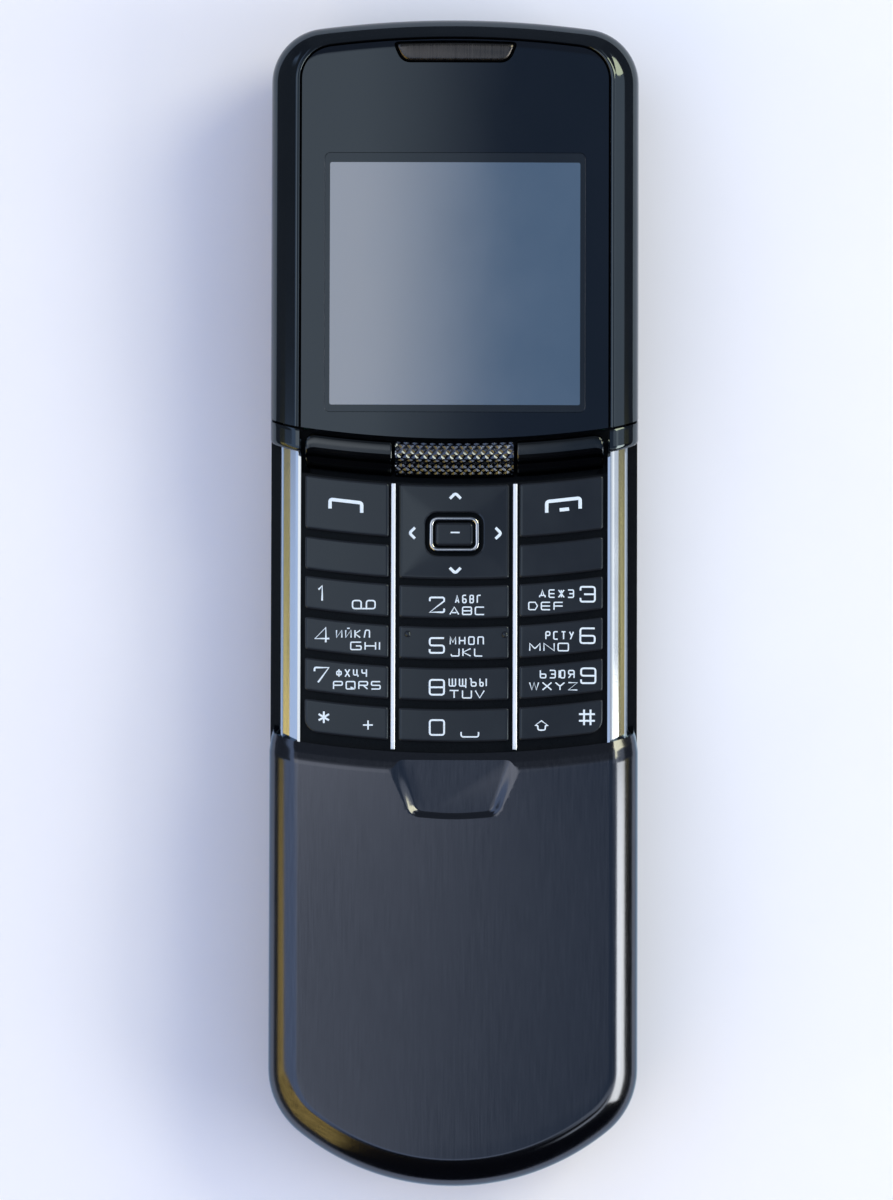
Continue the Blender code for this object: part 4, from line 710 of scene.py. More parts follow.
def ramp_node(tree, value, stops):
    """Turns a pattern into colours, from stops of a place and a colour."""
    made = tree.nodes.new("ShaderNodeValToRGB")
    ramp = made.color_ramp
    for element, (place, colour) in zip(ramp.elements, stops):
        element.position = place
        element.color = (*colour, 1.0)
    tree.links.new(value, made.inputs["Fac"])
    return made.outputs["Color"]


def tint(tree, value, colours, shader):
    """Drives the base colour with a pattern, from one colour to another."""
    colour = ramp_node(tree, value, list(zip(PATTERN_RANGE, colours)))
    tree.links.new(colour, shader.inputs["Base Color"])


def bumps(tree, value, measure, shader):
    made = tree.nodes.new("ShaderNodeBump")
    made.inputs["Distance"].default_value, made.inputs["Strength"].default_value = measure
    tree.links.new(value, made.inputs["Height"])
    tree.links.new(made.outputs["Normal"], shader.inputs["Normal"])


def glossy(name, dark, light, roughness, metallic=0.0, specular=0.5):
    """A smooth surface with faint smudges in its gloss and a slow change of tone."""
    made, tree, shader = node_material(name, dark, roughness, metallic, specular)
    tint(tree, noise(tree, SMUDGE_SCALE), (dark, light), shader)
    spread(tree, noise(tree, SMUDGE_SCALE, SMUDGE_NOISE), roughness, GLOSSY_SHARES, shader)
    return made


def coated(name, dark, light, roughness, ior):
    """A glossy surface with a strong reflection that isn't tinted, as of coated glass."""
    made = glossy(name, dark, light, roughness, 0.0, 1.0)
    shader = made.node_tree.nodes["Principled BSDF"]
    shader.inputs["IOR"].default_value = ior
    shader.inputs["Specular Tint"].default_value = (*PLAIN_TINT, 1.0)
    return made


def brushed(name, dark, light, roughness, metallic, anisotropic):
    """Metal with fine lines along the phone."""
    made, tree, shader = node_material(name, dark, roughness, metallic)
    lines = noise(tree, BRUSH_SCALE, BRUSH_NOISE)
    tint(tree, lines, (dark, light), shader)
    spread(tree, lines, roughness, BRUSHED_SHARES, shader)
    shader.inputs["Anisotropic"].default_value = anisotropic
    tangent = tree.nodes.new("ShaderNodeTangent")
    tangent.direction_type = "RADIAL"
    tangent.axis = "Y"
    tree.links.new(tangent.outputs["Tangent"], shader.inputs["Tangent"])
    bumps(tree, lines, BRUSH_BUMP, shader)
    return made


def moulded(name, dark, light, roughness, specular=0.5):
    """Moulded plastic with a fine grain."""
    made, tree, shader = node_material(name, dark, roughness, 0.0, specular)
    grain = noise(tree, GRAIN_SCALE, GRAIN_NOISE)
    tint(tree, noise(tree, FINE_SCALE), (dark, light), shader)
    spread(tree, grain, roughness, MOULDED_SHARES, shader)
    bumps(tree, grain, MOULDED_BUMP, shader)
    return made


def cast(name, dark, light, roughness, metallic):
    """Bare metal as cast, rolled or plated, with a mottled tone."""
    made, tree, shader = node_material(name, dark, roughness, metallic)
    mottle = noise(tree, FINE_SCALE, MOTTLE_NOISE)
    tint(tree, mottle, (dark, light), shader)
    spread(tree, mottle, roughness, CAST_SHARES, shader)
    bumps(tree, mottle, CAST_BUMP, shader)
    return made


# Each finish: its darker and its lighter tone, its roughness, and what it adds to a plain surface
BLACK_METAL = glossy("polished black metal", (0.0030, 0.0034, 0.0045), (0.0045, 0.0052, 0.0070), 0.06,
                     specular=1.0)
SOFT_KEY_METAL = glossy("soft key metal", (0.060, 0.070, 0.078), (0.080, 0.088, 0.092), 0.13, metallic=1.0)
EARPIECE_METAL = brushed("earpiece metal", (0.080, 0.078, 0.078), (0.110, 0.106, 0.104), 0.26, 1.0, 0.4)
BRUSHED_COVER = brushed("brushed cover", (0.088, 0.096, 0.115), (0.108, 0.117, 0.138), 0.13, 1.0, 0.6)
BEZEL_GLASS = glossy("black glass", (0.0035, 0.0050, 0.0090), (0.0045, 0.0060, 0.0105), 0.05, specular=0.65)
DISPLAY_BORDER = glossy("display border", (0.010, 0.013, 0.018), (0.014, 0.018, 0.024), 0.06)
DISPLAY_ACTIVE = coated("display active area", (0.046, 0.085, 0.140), (0.056, 0.098, 0.158), 0.07, COATED_IOR)
# The chrome divider strips get a pale, partly diffuse base: a painted reflection that stands in for their
# bright sheen, on top of their real gloss
DIVIDER_PAINTED_SHEEN = glossy("divider trim with painted sheen", (0.84, 0.90, 0.96), (0.88, 0.94, 0.99), 0.20, metallic=0.35)
CHROME = glossy("chrome", (0.60, 0.64, 0.68), (0.66, 0.70, 0.74), 0.09, metallic=1.0)
GRIP = glossy("knurled grip", (0.085, 0.100, 0.135), (0.120, 0.140, 0.180), 0.14, metallic=1.0)
KEY_PLASTIC = glossy("key plastic", (0.012, 0.014, 0.018), (0.017, 0.020, 0.025), 0.14)
DARK_PLASTIC = moulded("dark plastic", (0.003, 0.003, 0.004), (0.005, 0.005, 0.0065), 0.30, specular=0.15)
DARK_SHELL = moulded("back shell plastic", (0.016, 0.017, 0.020), (0.024, 0.025, 0.029), 0.45)
RUBBER = moulded("keymat rubber", (0.0035, 0.0035, 0.0045), (0.0060, 0.0060, 0.0075), 0.60, specular=0.2)
BOARD = moulded("circuit board", (0.010, 0.085, 0.045), (0.020, 0.130, 0.070), 0.50)
MAGNESIUM = cast("blackened casting", (0.012, 0.012, 0.014), (0.020, 0.020, 0.023), 0.55, metallic=0.3)
TIN = cast("tinned steel", (0.42, 0.42, 0.41), (0.56, 0.56, 0.54), 0.34, metallic=0.9)
BATTERY_WRAP = moulded("battery wrap", (0.050, 0.050, 0.058), (0.070, 0.070, 0.080), 0.42)
LEGEND = moulded("legend print", (0.70, 0.81, 0.90), (0.76, 0.86, 0.93), 0.45)

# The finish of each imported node. The keys are of key plastic
NODE_FINISHES = (
    (BLACK_METAL, ("upper_housing", "collar_left", "collar_right", "top_cap", "earpiece_trim", "power_key",
                   "rear_tray", "battery_cover", "cover_release_button")),
    (SOFT_KEY_METAL, ("soft_key_left", "soft_key_right")),
    (BEZEL_GLASS, ("display_window", "camera_lens")),
    (DISPLAY_ACTIVE, ("lcd_panel",)),
    (DIVIDER_PAINTED_SHEEN, ("column_divider_left", "column_divider_right")),
    (CHROME, ("chrome_rail_left", "chrome_rail_right", "select_ring")),
    (GRIP, ("grip_bar",)),
    (DARK_PLASTIC, ("keypad_frame", "camera_module", "antenna", "nav_rocker")),
    (DARK_SHELL, ("back_shell", "earpiece_speaker")),
    (RUBBER, ("key_mat",)),
    (BOARD, ("main_board", "keypad_board")),
    (MAGNESIUM, ("inner_chassis",)),
    (TIN, ("lcd_frame", "shield_can", "loudspeaker", "vibration_motor", "slide_rail_left", "slide_rail_right",
           "sim_holder", "charge_socket", "microphone")),
    (BATTERY_WRAP, ("battery",)),
    (BRUSHED_COVER, ("front_cover",)),
)


def dress_nodes():
    """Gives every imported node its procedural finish."""
    finish = {node: material for material, nodes in NODE_FINISHES for node in nodes}
    for name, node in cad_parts.items():
        node.data.materials.clear()
        node.data.materials.append(finish.get(name, KEY_PLASTIC))


def on_front(points, z):
    """Bends a flat outline to the smile and lowers it to the crown."""
    return [(x, y + smile(x), z - crown_drop(x, z)) for x, y in points]


# Keys
KEY_TOP_Z = THICKNESS - 1.3 * MM
KEY_CAP_HEIGHT = 1.0 * MM
KEY_FOOT_Z = KEY_TOP_Z - 2.7 * MM
KEY_EDGE = 0.26 * MM
KEY_CORNER = 0.34 * MM
CORNER_KEY_RADIUS = 1.5 * MM
KEY_STEM_IN = 0.9 * MM
KEY_SUPPORT = 0.14 * MM
KEY_EDGE_STEPS = 4
KEY_STRIPS = 8
STEM_CORNER = 0.2 * MM
LEAST_CORNER = 0.05 * MM


def key_measures(node):
    """Centre and half sizes of a key in the flat layout, before the smile bends it."""
    low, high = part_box(node)
    nearest = 0.0 if low.x < 0 < high.x else min(abs(low.x), abs(high.x))
    low_y = low.y - smile(nearest)
    high_y = high.y - smile(max(abs(low.x), abs(high.x)))
    centre = ((low.x + high.x) / 2, (low_y + high_y) / 2)
    return centre, (high.x - low.x) / 2, (high_y - low_y) / 2


def key_solid(centre, half_x, half_y, corners):
    """A key: its stem, and its cap with rounded edges."""
    def outline(inset, z):
        inner = [max(corner - inset, LEAST_CORNER) for corner in corners]
        return on_front(rounded_outline(half_x - inset, half_y - inset, inner, centre), z)

    low_z = KEY_TOP_Z - KEY_CAP_HEIGHT
    stem = rounded_outline(half_x - KEY_STEM_IN, half_y - KEY_STEM_IN, [STEM_CORNER] * 4, centre)
    levels = [on_front(stem, KEY_FOOT_Z), on_front(stem, low_z), outline(0.0, low_z)]
    for inset, drop in quarter_round(KEY_EDGE, KEY_EDGE, KEY_EDGE_STEPS):
        levels.append(outline(inset, KEY_TOP_Z - drop))
    levels.append(outline(KEY_EDGE + KEY_SUPPORT, KEY_TOP_Z))
    bm = solid(levels)
    split_across(bm, centre[0], half_x, KEY_STRIPS)
    return bm


def make_key(node):
    centre, half_x, half_y = key_measures(node)
    corners = [KEY_CORNER] * 4
    if node in OUTER_CORNERS:
        corners[OUTER_CORNERS[node]] = CORNER_KEY_RADIUS
    bm = key_solid(centre, half_x, half_y, corners)
    settle(link(f"{node}_cap", bm, KEY_PLASTIC, node, "key_plastic", node))


# Print on the keys. Letters are drawn as strokes on a lattice. Each point is its column and row in quarters
# of the letter's width and height. Row 5 lies above the letter, and row - below it. A comma starts a new
# stroke
GLYPHS = {
    "0": "00 40 44 04 00", "1": "13 24 20", "2": "03 04 44 43 00 40 41", "3": "03 04 44 40 00 01, 12 42",
    "4": "30 34 01 41", "5": "44 04 02 42 40 00 01", "6": "44 04 00 40 42 02", "7": "03 04 44 10",
    "8": "00 40 44 04 00, 02 42", "9": "42 02 04 44 40 00 01",
    "A": "00 24 40, 11 31", "B": "00 04 44 42 02, 42 40 00", "C": "44 04 00 40", "D": "00 04 34 42 30 00",
    "E": "44 04 00 40, 02 42", "F": "44 04 00, 02 42", "G": "44 04 00 40 42 22", "H": "00 04, 40 44, 02 42",
    "I": "20 24", "J": "44 40 00 01", "K": "00 04, 44 02 40", "L": "04 00 40", "M": "00 04 21 44 40",
    "N": "00 04 40 44", "O": "00 40 44 04 00", "P": "00 04 44 42 02", "Q": "00 40 44 04 00, 21 40",
    "R": "00 04 44 42 02, 22 40", "S": "44 04 02 42 40 00", "T": "04 44, 24 20", "U": "04 00 40 44",
    "V": "04 20 44", "W": "04 10 24 30 44", "X": "04 40, 00 44", "Y": "04 22 44, 22 20", "Z": "04 44 00 40",
    "Б": "44 04 00 40 42 02", "Г": "00 04 44", "Д": "00 01 41 40, 11 24 31",
    "Ж": "24 20, 04 22 44, 00 22 40", "З": "04 44 40 00, 12 42", "И": "04 00 44 40",
    "Й": "04 00 44 40, 15 35", "Л": "00 14 44 40", "П": "00 04 44 40",
    "У": "04 22, 44 10", "Ф": "24 20, 03 43 41 01 03", "Ц": "04 01 41, 34 31, 41 40",
    "Ч": "04 02 42, 44 40", "Ш": "04 00 40 44, 24 20", "Щ": "04 00 40 44, 24 20, 40 4-",
    "Ъ": "04 14 10 40 42 12", "Ы": "04 00 20 22 02, 44 40", "Ь": "04 00 40 42 02",
    "Э": "04 44 40 00, 12 42", "Ю": "04 00, 02 12, 14 44 40 10 14", "Я": "40 44 04 02 42, 22 00",
}
LATTICE = 4
BELOW_LINE = "-"
DIGIT_HEIGHT = 1.80 * MM
DIGIT_WIDTH = 1.75 * MM
LETTER_HEIGHT = 0.90 * MM
LETTER_GAP = 0.48 * MM
LETTER_STROKE = 0.215 * MM
DIGIT_STROKE = 0.30 * MM
STROKE_BEND = 0.32 * MM
STROKE_RISE = 0.030 * MM
BEND_STEPS = 4
SQUARE_SHARE = 0.3

# Where things lie in the photograph: its scale, and the pixel over the model's origin
PIXELS_PER_MM = 8.15
ORIGIN_PX = 454.0
ORIGIN_PY = 602.0


def at_pixel(px, py):
    return (px - ORIGIN_PX) / PIXELS_PER_MM * MM, (ORIGIN_PY - py) / PIXELS_PER_MM * MM


def rounded_path(points, radius, closed):
    """Rounds the square corners of a stroke."""
    made = []
    count = len(points)
    for index, (x, y) in enumerate(points):
        if not closed and index in (0, count - 1):
            made.append((x, y))
            continue
        before, after = points[index - 1], points[(index + 1) % count]
        step_in = (before[0] - x, before[1] - y)
        step_out = (after[0] - x, after[1] - y)
        length_in, length_out = math.hypot(*step_in), math.hypot(*step_out)
        along = abs(step_in[0] * step_out[0] + step_in[1] * step_out[1])
        if along >= SQUARE_SHARE * length_in * length_out:
            made.append((x, y))
            continue
        cut_back = min(radius, length_in / 2, length_out / 2)
        for step in range(BEND_STEPS + 1):
            t = step / BEND_STEPS
            share_in = (1 - t) ** 2 * cut_back / length_in
            share_out = t ** 2 * cut_back / length_out
            made.append((x + step_in[0] * share_in + step_out[0] * share_out,
                         y + step_in[1] * share_in + step_out[1] * share_out))
    return made


class Print:
    """Strokes that make one printed legend, in world X and Y."""

    def __init__(self, name, body, top_z):
        self.name = name
        self.body = body
        self.top_z = top_z
        self.curve = bpy.data.curves.new(name, "CURVE")
        self.curve.dimensions = "3D"
        self.curve.bevel_depth = 1.0
        self.curve.bevel_resolution = 1
        self.curve.use_fill_caps = True

    def stroke(self, points, width, radius=STROKE_BEND):
        """One stroke with rounded corners. It closes where its last point is its first."""
        closed = len(points) > 2 and points[0] == points[-1]
        if closed:
            points = points[:-1]
        path = rounded_path(points, radius, closed)
        spline = self.curve.splines.new("POLY")
        spline.points.add(len(path) - 1)
        for point, (x, y) in zip(spline.points, path):
            point.co = (x, y, 0.0, 1.0)
            point.radius = width / 2
        spline.use_cyclic_u = closed

    def glyph(self, letter, x, y, width, height, stroke):
        """One letter whose lower left corner is at x, y."""
        for part in GLYPHS[letter].split(","):
            points = []
            for pair in part.split():
                row = -1 if pair[1] == BELOW_LINE else int(pair[1])
                points.append((x + width * int(pair[0]) / LATTICE, y + height * row / LATTICE))
            self.stroke(points, stroke, STROKE_BEND * height / DIGIT_HEIGHT)

    def word(self, letters, left_px, right_px, py):
        """A row of letters from one pixel column to another, centred on a pixel row."""
        left, middle = at_pixel(left_px, py)
        inner = at_pixel(right_px, py)[0] - left - LETTER_STROKE
        wide = sum(1 for letter in letters if letter != "I")
        width = (inner - LETTER_GAP * (len(letters) - 1)) / max(1, wide)
        x = left + LETTER_STROKE / 2
        for letter in letters:
            slim = letter == "I"
            start = x - width / 2 if slim else x
            self.glyph(letter, start, middle - LETTER_HEIGHT / 2, width, LETTER_HEIGHT, LETTER_STROKE)
            x += LETTER_GAP if slim else width + LETTER_GAP

    def finish(self, material):
        """Flattens the strokes onto the key's crowned top."""
        thing = add(self.name, self.curve)
        mesh = applied_mesh(thing)
        bpy.data.objects.remove(thing, do_unlink=True)
        bpy.data.curves.remove(self.curve)
        for vert in mesh.vertices:
            lift = STROKE_RISE if vert.co.z > MERGE else -STROKE_RISE
            sink = nav_drop(vert.co.x, vert.co.y) if self.body == "nav_key" else 0.0
            vert.co.z = self.top_z + lift - sink - crown_drop(vert.co.x, self.top_z)
        mesh.materials.clear()
        mesh.materials.append(material)
        made = add(self.name, mesh)
        mesh.shade_flat()
        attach(made, self.body)


# What is printed on each key: digits, rows of letters and signs, at their places in the photograph
DIGIT_CENTRE = {"key_1": ("1", 323.0, 595.0), "key_2": ("2", 437.0, 606.3), "key_3": ("3", 586.6, 595.3),
                "key_4": ("4", 323.2, 636.4), "key_5": ("5", 437.0, 646.6), "key_6": ("6", 586.5, 636.5),
                "key_7": ("7", 322.8, 676.1), "key_8": ("8", 437.1, 688.1), "key_9": ("9", 587.3, 676.2),
                "key_0": ("0", 437.3, 728.0)}
WORDS = {"key_2": (("АБВГ", 454.5, 481.2, 600.4), ("ABC", 449.0, 484.7, 612.1)),
         "key_3": (("ДЕЖЗ", 538.0, 573.4, 594.8), ("DEF", 527.2, 562.7, 607.1)),
         "key_4": (("ИЙКЛ", 336.6, 371.0, 635.3), ("GHI", 350.7, 381.0, 647.2)),
         "key_5": (("МНОП", 449.4, 484.0, 641.7), ("JKL", 450.5, 483.0, 653.3)),
         "key_6": (("РСТУ", 544.3, 573.4, 636.3), ("MNO", 528.3, 568.4, 647.8)),
         "key_7": (("ФХЦЧ", 336.9, 368.1, 674.2), ("PQRS", 333.8, 381.8, 686.3)),
         "key_8": (("ШЩЪЫ", 448.5, 487.0, 683.1), ("TUV", 449.0, 485.0, 694.9)),
         "key_9": (("ЬЭЮЯ", 538.9, 574.1, 674.7), ("WXYZ", 528.3, 577.4, 686.7))}
# Letters of the two alphabets that share a shape
SAME_SHAPE = dict(zip("АВЕКМНОРСТХ", "ABEKMHOPCTX"))
# Widths of strokes, in pixels of the photograph
THIN = 2.0
MEDIUM = 2.6
ARROW = 3.4
THICK = 4.6
# Each sign is a list of strokes: a width, then the stroke's corners in the photograph
SIGNS = {
    "key_1": ((THIN, (364.3, 610.2), (353.2, 610.2), (353.2, 602.2), (361.8, 602.2), (361.8, 610.2)),
              (THIN, (361.8, 610.2), (375.6, 610.2), (375.6, 602.2), (367.0, 602.2), (367.0, 610.2))),
    "key_star": ((MEDIUM, (325.1, 712.3), (325.1, 723.8)), (MEDIUM, (320.0, 715.0), (330.3, 721.1)),
                 (MEDIUM, (320.0, 721.1), (330.3, 715.0)),
                 (THIN, (369.0, 721.2), (369.0, 730.2)), (THIN, (364.0, 725.7), (373.8, 725.7))),
    "key_0": ((THIN, (461.3, 732.4), (461.3, 737.2), (478.6, 737.2), (478.6, 732.4)),),
    "key_hash": ((MEDIUM, (583.2, 709.8), (583.2, 725.2)), (MEDIUM, (589.6, 709.8), (589.6, 725.2)),
                 (MEDIUM, (578.2, 714.3), (594.0, 714.3)), (MEDIUM, (578.2, 720.9), (594.0, 720.9)),
                 (THIN, (537.4, 725.6), (534.6, 725.6), (541.0, 721.0), (547.5, 725.6), (544.8, 725.6),
                  (544.8, 730.3), (537.4, 730.3), (537.4, 725.6))),
    "call_key": ((THICK, (330.5, 510.8), (330.5, 501.6), (362.0, 505.2), (362.0, 515.0)),),
    "end_key": ((THICK, (545.7, 514.4), (545.7, 503.4), (578.9, 499.7), (578.9, 510.2)),
                (THICK, (558.6, 511.6), (568.0, 510.6))),
    "nav_key": ((ARROW, (415.0, 529.6), (409.4, 535.0), (415.0, 540.4)),
                (ARROW, (495.0, 529.6), (500.6, 535.0), (495.0, 540.4)),
                (ARROW, (449.6, 500.6), (455.0, 495.2), (460.4, 500.6)),
                (ARROW, (449.6, 569.4), (455.0, 574.8), (460.4, 569.4))),
    "select_key": ((THIN, (450.4, 534.4), (459.4, 534.4)),),
}


def print_key(node, top_z):
    """The legend of one key."""
    legend = Print(f"{node}_legend", node, top_z)
    if node in DIGIT_CENTRE:
        digit, px, py = DIGIT_CENTRE[node]
        x, y = at_pixel(px, py)
        low_x, low_y = x - DIGIT_WIDTH / 2, y - DIGIT_HEIGHT / 2
        legend.glyph(digit, low_x, low_y, DIGIT_WIDTH, DIGIT_HEIGHT, DIGIT_STROKE)
    for letters, left_px, right_px, py in WORDS.get(node, ()):
        plain = "".join(SAME_SHAPE.get(letter, letter) for letter in letters)
        legend.word(plain, left_px, right_px, py)
    for width, *corners in SIGNS.get(node, ()):
        legend.stroke([at_pixel(px, py) for px, py in corners], width / PIXELS_PER_MM * MM)
    legend.finish(LEGEND)


PLAIN_KEYS = ["call_key", "end_key", "blank_key_left", "blank_key_right", "key_star", "key_0", "key_hash"]
PLAIN_KEYS += [f"key_{digit}" for digit in range(1, 10)]
# The corner of a key that follows the keypad's own corner, counted from +X +Y round
OUTER_CORNERS = {"key_star": 2, "key_hash": 3}
PIP_PX = ((408.2, 635.3), (504.6, 635.7))
PIP_RADIUS = 0.42 * MM
PIP_RISE = 0.22 * MM
PIP_SIDES = 20
PIP_RINGS = 5


def add_dome(bm, x, y, base_z, radius, rise):
    """A low dome, closed underneath."""
    rows = []
    for ring in range(PIP_RINGS):
        angle = math.pi / 2 * ring / PIP_RINGS
        z = base_z + rise * math.sin(angle)
        rows.append([(px, py, z) for px, py in circle(x, y, radius * math.cos(angle), PIP_SIDES)])
    made = quads(bm, rows, True)
    tip = bm.verts.new((x, y, base_z + rise))
    for side in range(PIP_SIDES):
        bm.faces.new((made[-1][side], made[-1][(side + 1) % PIP_SIDES], tip))
    bm.faces.new(reversed(made[0]))


def make_pips():
    """Two raised pips that let a finger find the middle of the keypad."""
    bm = bmesh.new()
    for px, py in PIP_PX:
        x, y = at_pixel(px, py)
        add_dome(bm, x, y, KEY_TOP_Z - crown_drop(x, KEY_TOP_Z) - HAIRLINE, PIP_RADIUS, PIP_RISE + HAIRLINE)
    settle(link("key_5_pips", bm, KEY_PLASTIC, "key_5", "key_plastic"))


# Navigation cluster
RING_HALF_X = 3.05 * MM
RING_HALF_Y = 2.15 * MM
RING_WALL = 0.5 * MM
RING_CORNER = 1.05 * MM
RING_EDGE = 0.18 * MM
NAV_HOLE_GAP = 0.5 * MM
NAV_HOLE_ROUND = 0.16 * MM
NAV_HOLE_BEND = 0.04 * MM
NAV_PYRAMID = 0.14 * MM
NAV_CREASE = 2.0
SELECT_GAP = 0.25 * MM
SELECT_RISE = 0.1 * MM
SELECT_CORNER = 0.5 * MM


def nav_centre():
    return 0.0, middle_of("select_ring", 1)


def nav_drop(x, y):
    """How far the navigation key's pyramid lies under its top here."""
    centre, half_x, half_y = key_measures("nav_key")
    middle = nav_centre()
    hole_x, hole_y = RING_HALF_X + NAV_HOLE_GAP, RING_HALF_Y + NAV_HOLE_GAP
    far_y = centre[1] + half_y if y > middle[1] else centre[1] - half_y
    share_x = (abs(x) - hole_x) / (half_x - hole_x)
    share_y = (abs(y - middle[1]) - hole_y) / (abs(far_y - middle[1]) - hole_y)
    return NAV_PYRAMID * max(0.0, min(1.0, max(share_x, share_y)))


def make_nav_key():
    """The navigation key: a shallow pyramid that rises to the hole around the ring."""
    centre, half_x, half_y = key_measures("nav_key")
    middle = nav_centre()
    low_z = KEY_TOP_Z - KEY_CAP_HEIGHT
    edge_z = KEY_TOP_Z - NAV_PYRAMID
    levels = []

    def outer(inset, z):
        corners = [max(KEY_CORNER - inset, LEAST_CORNER)] * 4
        levels.append(on_front(rounded_outline(half_x - inset, half_y - inset, corners, centre), z))

    def hole(inset, z):
        half = (RING_HALF_X + NAV_HOLE_GAP - inset, RING_HALF_Y + NAV_HOLE_GAP - inset)
        levels.append(on_front(rounded_outline(*half, [RING_CORNER + NAV_HOLE_GAP] * 4, middle), z))

    outer(KEY_STEM_IN, KEY_FOOT_Z)
    outer(KEY_STEM_IN, low_z)
    outer(0.0, low_z)
    for inset, drop in quarter_round(KEY_EDGE, KEY_EDGE, KEY_EDGE_STEPS):
        outer(inset, edge_z - drop)
    outer(KEY_EDGE + KEY_SUPPORT, edge_z)
    hole(-NAV_HOLE_ROUND, KEY_TOP_Z)
    hole(-NAV_HOLE_BEND, KEY_TOP_Z - NAV_HOLE_BEND)
    hole(0.0, KEY_TOP_Z - NAV_HOLE_ROUND)
    hole(0.0, KEY_FOOT_Z)
    bm = closed_loop(levels)
    bmesh.ops.recalc_face_normals(bm, faces=bm.faces)
    settle(link("nav_key_cap", bm, KEY_PLASTIC, "nav_key", "key_plastic", "nav_key"), NAV_CREASE)


def closed_loop(levels):
    """A mesh round a hole, from rings that go out of the hole, over the piece and back."""
    bm = skin(levels + levels[:1], True)
    bmesh.ops.remove_doubles(bm, verts=bm.verts, dist=WELD)
    return bm


def flat_rings(half_x, half_y, corner, levels):
    """Rounded rectangles round the navigation key's middle, each drawn in by its level's inset."""
    rings = []
    for inset, z in levels:
        radius = max(corner - inset, LEAST_CORNER)
        ring = rounded_rectangle(half_x - inset, half_y - inset, radius, *nav_centre())
        rings.append([(x, y, z) for x, y in ring])
    return rings


def make_select_ring():
    section = [(0.0, edge("select_ring", 2, False))]
    for inset, drop in quarter_round(RING_EDGE, RING_EDGE, KEY_EDGE_STEPS):
        section.append((inset, KEY_TOP_Z - drop))
    section += [(RING_WALL - inset, z) for inset, z in reversed(section)]
    bm = closed_loop(flat_rings(RING_HALF_X, RING_HALF_Y, RING_CORNER, section))
    settle(link("select_ring_trim", bm, CHROME, "nav_key", "chrome_trim", "select_ring"))


def make_select_key():
    top_z = KEY_TOP_Z + SELECT_RISE
    inner = RING_WALL + SELECT_GAP
    levels = [(0.0, edge("select_key", 2, False))]
    levels += [(inset, top_z - drop) for inset, drop in quarter_round(KEY_EDGE, KEY_EDGE, KEY_EDGE_STEPS)]
    levels.append((KEY_EDGE + KEY_SUPPORT, top_z))
    bm = solid(flat_rings(RING_HALF_X - inner, RING_HALF_Y - inner, SELECT_CORNER, levels))
    settle(link("select_key_cap", bm, KEY_PLASTIC, "select_key", "key_plastic", "select_key"))


def make_keys():
    for node in PLAIN_KEYS:
        make_key(node)
    make_pips()
    make_nav_key()
    make_select_ring()
    make_select_key()
    for node in sorted(set(DIGIT_CENTRE) | set(SIGNS)):
        print_key(node, KEY_TOP_Z + (SELECT_RISE if node == "select_key" else 0.0))


# Collars under the housing: the same shoulder, with rounded edges
COLLAR_IN_X = edge("collar_right", 0, False)
COLLAR_ROWS = 12
COLLAR_LEVELS = 22
COLLAR_LOW_ROUND = 0.40 * MM
COLLAR_HIGH_ROUND = 0.15 * MM


def round_drop(distance, radius):
    """How far a rounded edge lies under its surface, at a distance from the edge."""
    if distance >= radius:
        return 0.0
    return radius - math.sqrt(radius * radius - (radius - distance) ** 2)


def make_collar(node, side):
    tilts = [UPRIGHT, *tilts_to(tilt_at(HALF_WIDTH - COLLAR_IN_X), COLLAR_LEVELS)]
    length = HOUSING_EDGE_Y - FIT_GAP - COLLAR_EDGE_Y
    rows = []
    for row in range(COLLAR_ROWS + 1):
        share = math.sin(math.pi / 2 * (2 * row / COLLAR_ROWS - 1)) / 2 + 1 / 2
        drop = round_drop(share * length, COLLAR_LOW_ROUND)
        drop += round_drop((1 - share) * length, COLLAR_HIGH_ROUND)
        line = []
        for index, tilt in enumerate(tilts):
            inset, z = shoulder_point(tilt) if index else (0.0, SEAM_TOP_Z)
            x = HALF_WIDTH - inset
            y = edge_y(COLLAR_EDGE_Y, x, z) + share * length
            angle = math.radians(tilt)
            low_z = z - math.cos(angle) * drop - crown_drop(x, z)
            line.append((side * (x - math.sin(angle) * drop), y, low_z))
        rows.append(line if side > 0 else line[::-1])
    bm = skin(rows)
    bmesh.ops.reverse_faces(bm, faces=bm.faces)
    collar = link(f"{node}_band", bm, BLACK_METAL, "handset", "black_metal", node)
    thicken(collar, FRONT_WALL / 2)
    settle(collar)


# Chrome rails: section from the outer side in, as X and height
RAIL_SECTION = ((21.15 * MM, 9.70 * MM), (21.15 * MM, 13.50 * MM), (21.12 * MM, 13.60 * MM),
                (21.05 * MM, 13.66 * MM), (20.93 * MM, 13.69 * MM), (20.89 * MM, 13.62 * MM),
                (20.84 * MM, 13.64 * MM), (20.50 * MM, 13.905 * MM), (20.15 * MM, 14.165 * MM),
                (19.85 * MM, 14.36 * MM), (19.40 * MM, 14.57 * MM), (19.25 * MM, 14.63 * MM),
                (19.06 * MM, 14.69 * MM), (19.02 * MM, 14.69 * MM), (18.72 * MM, 14.55 * MM),
                (18.69 * MM, 14.48 * MM), (18.69 * MM, 9.70 * MM))
DIVIDER_WIDTH = 0.5 * MM
DIVIDER_ROUND_STEPS = 6
DIVIDER_ROUND_TILT = 34.0


def bar_along(name, section, material, node):
    """A straight bar along a node's length with a section in X and Z, closed at both ends."""
    ends = (edge(node, 1, False), edge(node, 1, True))
    bm = solid([[(x, y, z - crown_drop(x, z)) for x, z in section] for y in ends])
    settle(link(name, bm, material, "handset", "chrome_trim", node), SHARP_CREASE)


def make_rails():
    for node, side in (("chrome_rail_left", -1), ("chrome_rail_right", 1)):
        bar_along(f"{node}_trim", [(side * x, z) for x, z in RAIL_SECTION], CHROME, node)


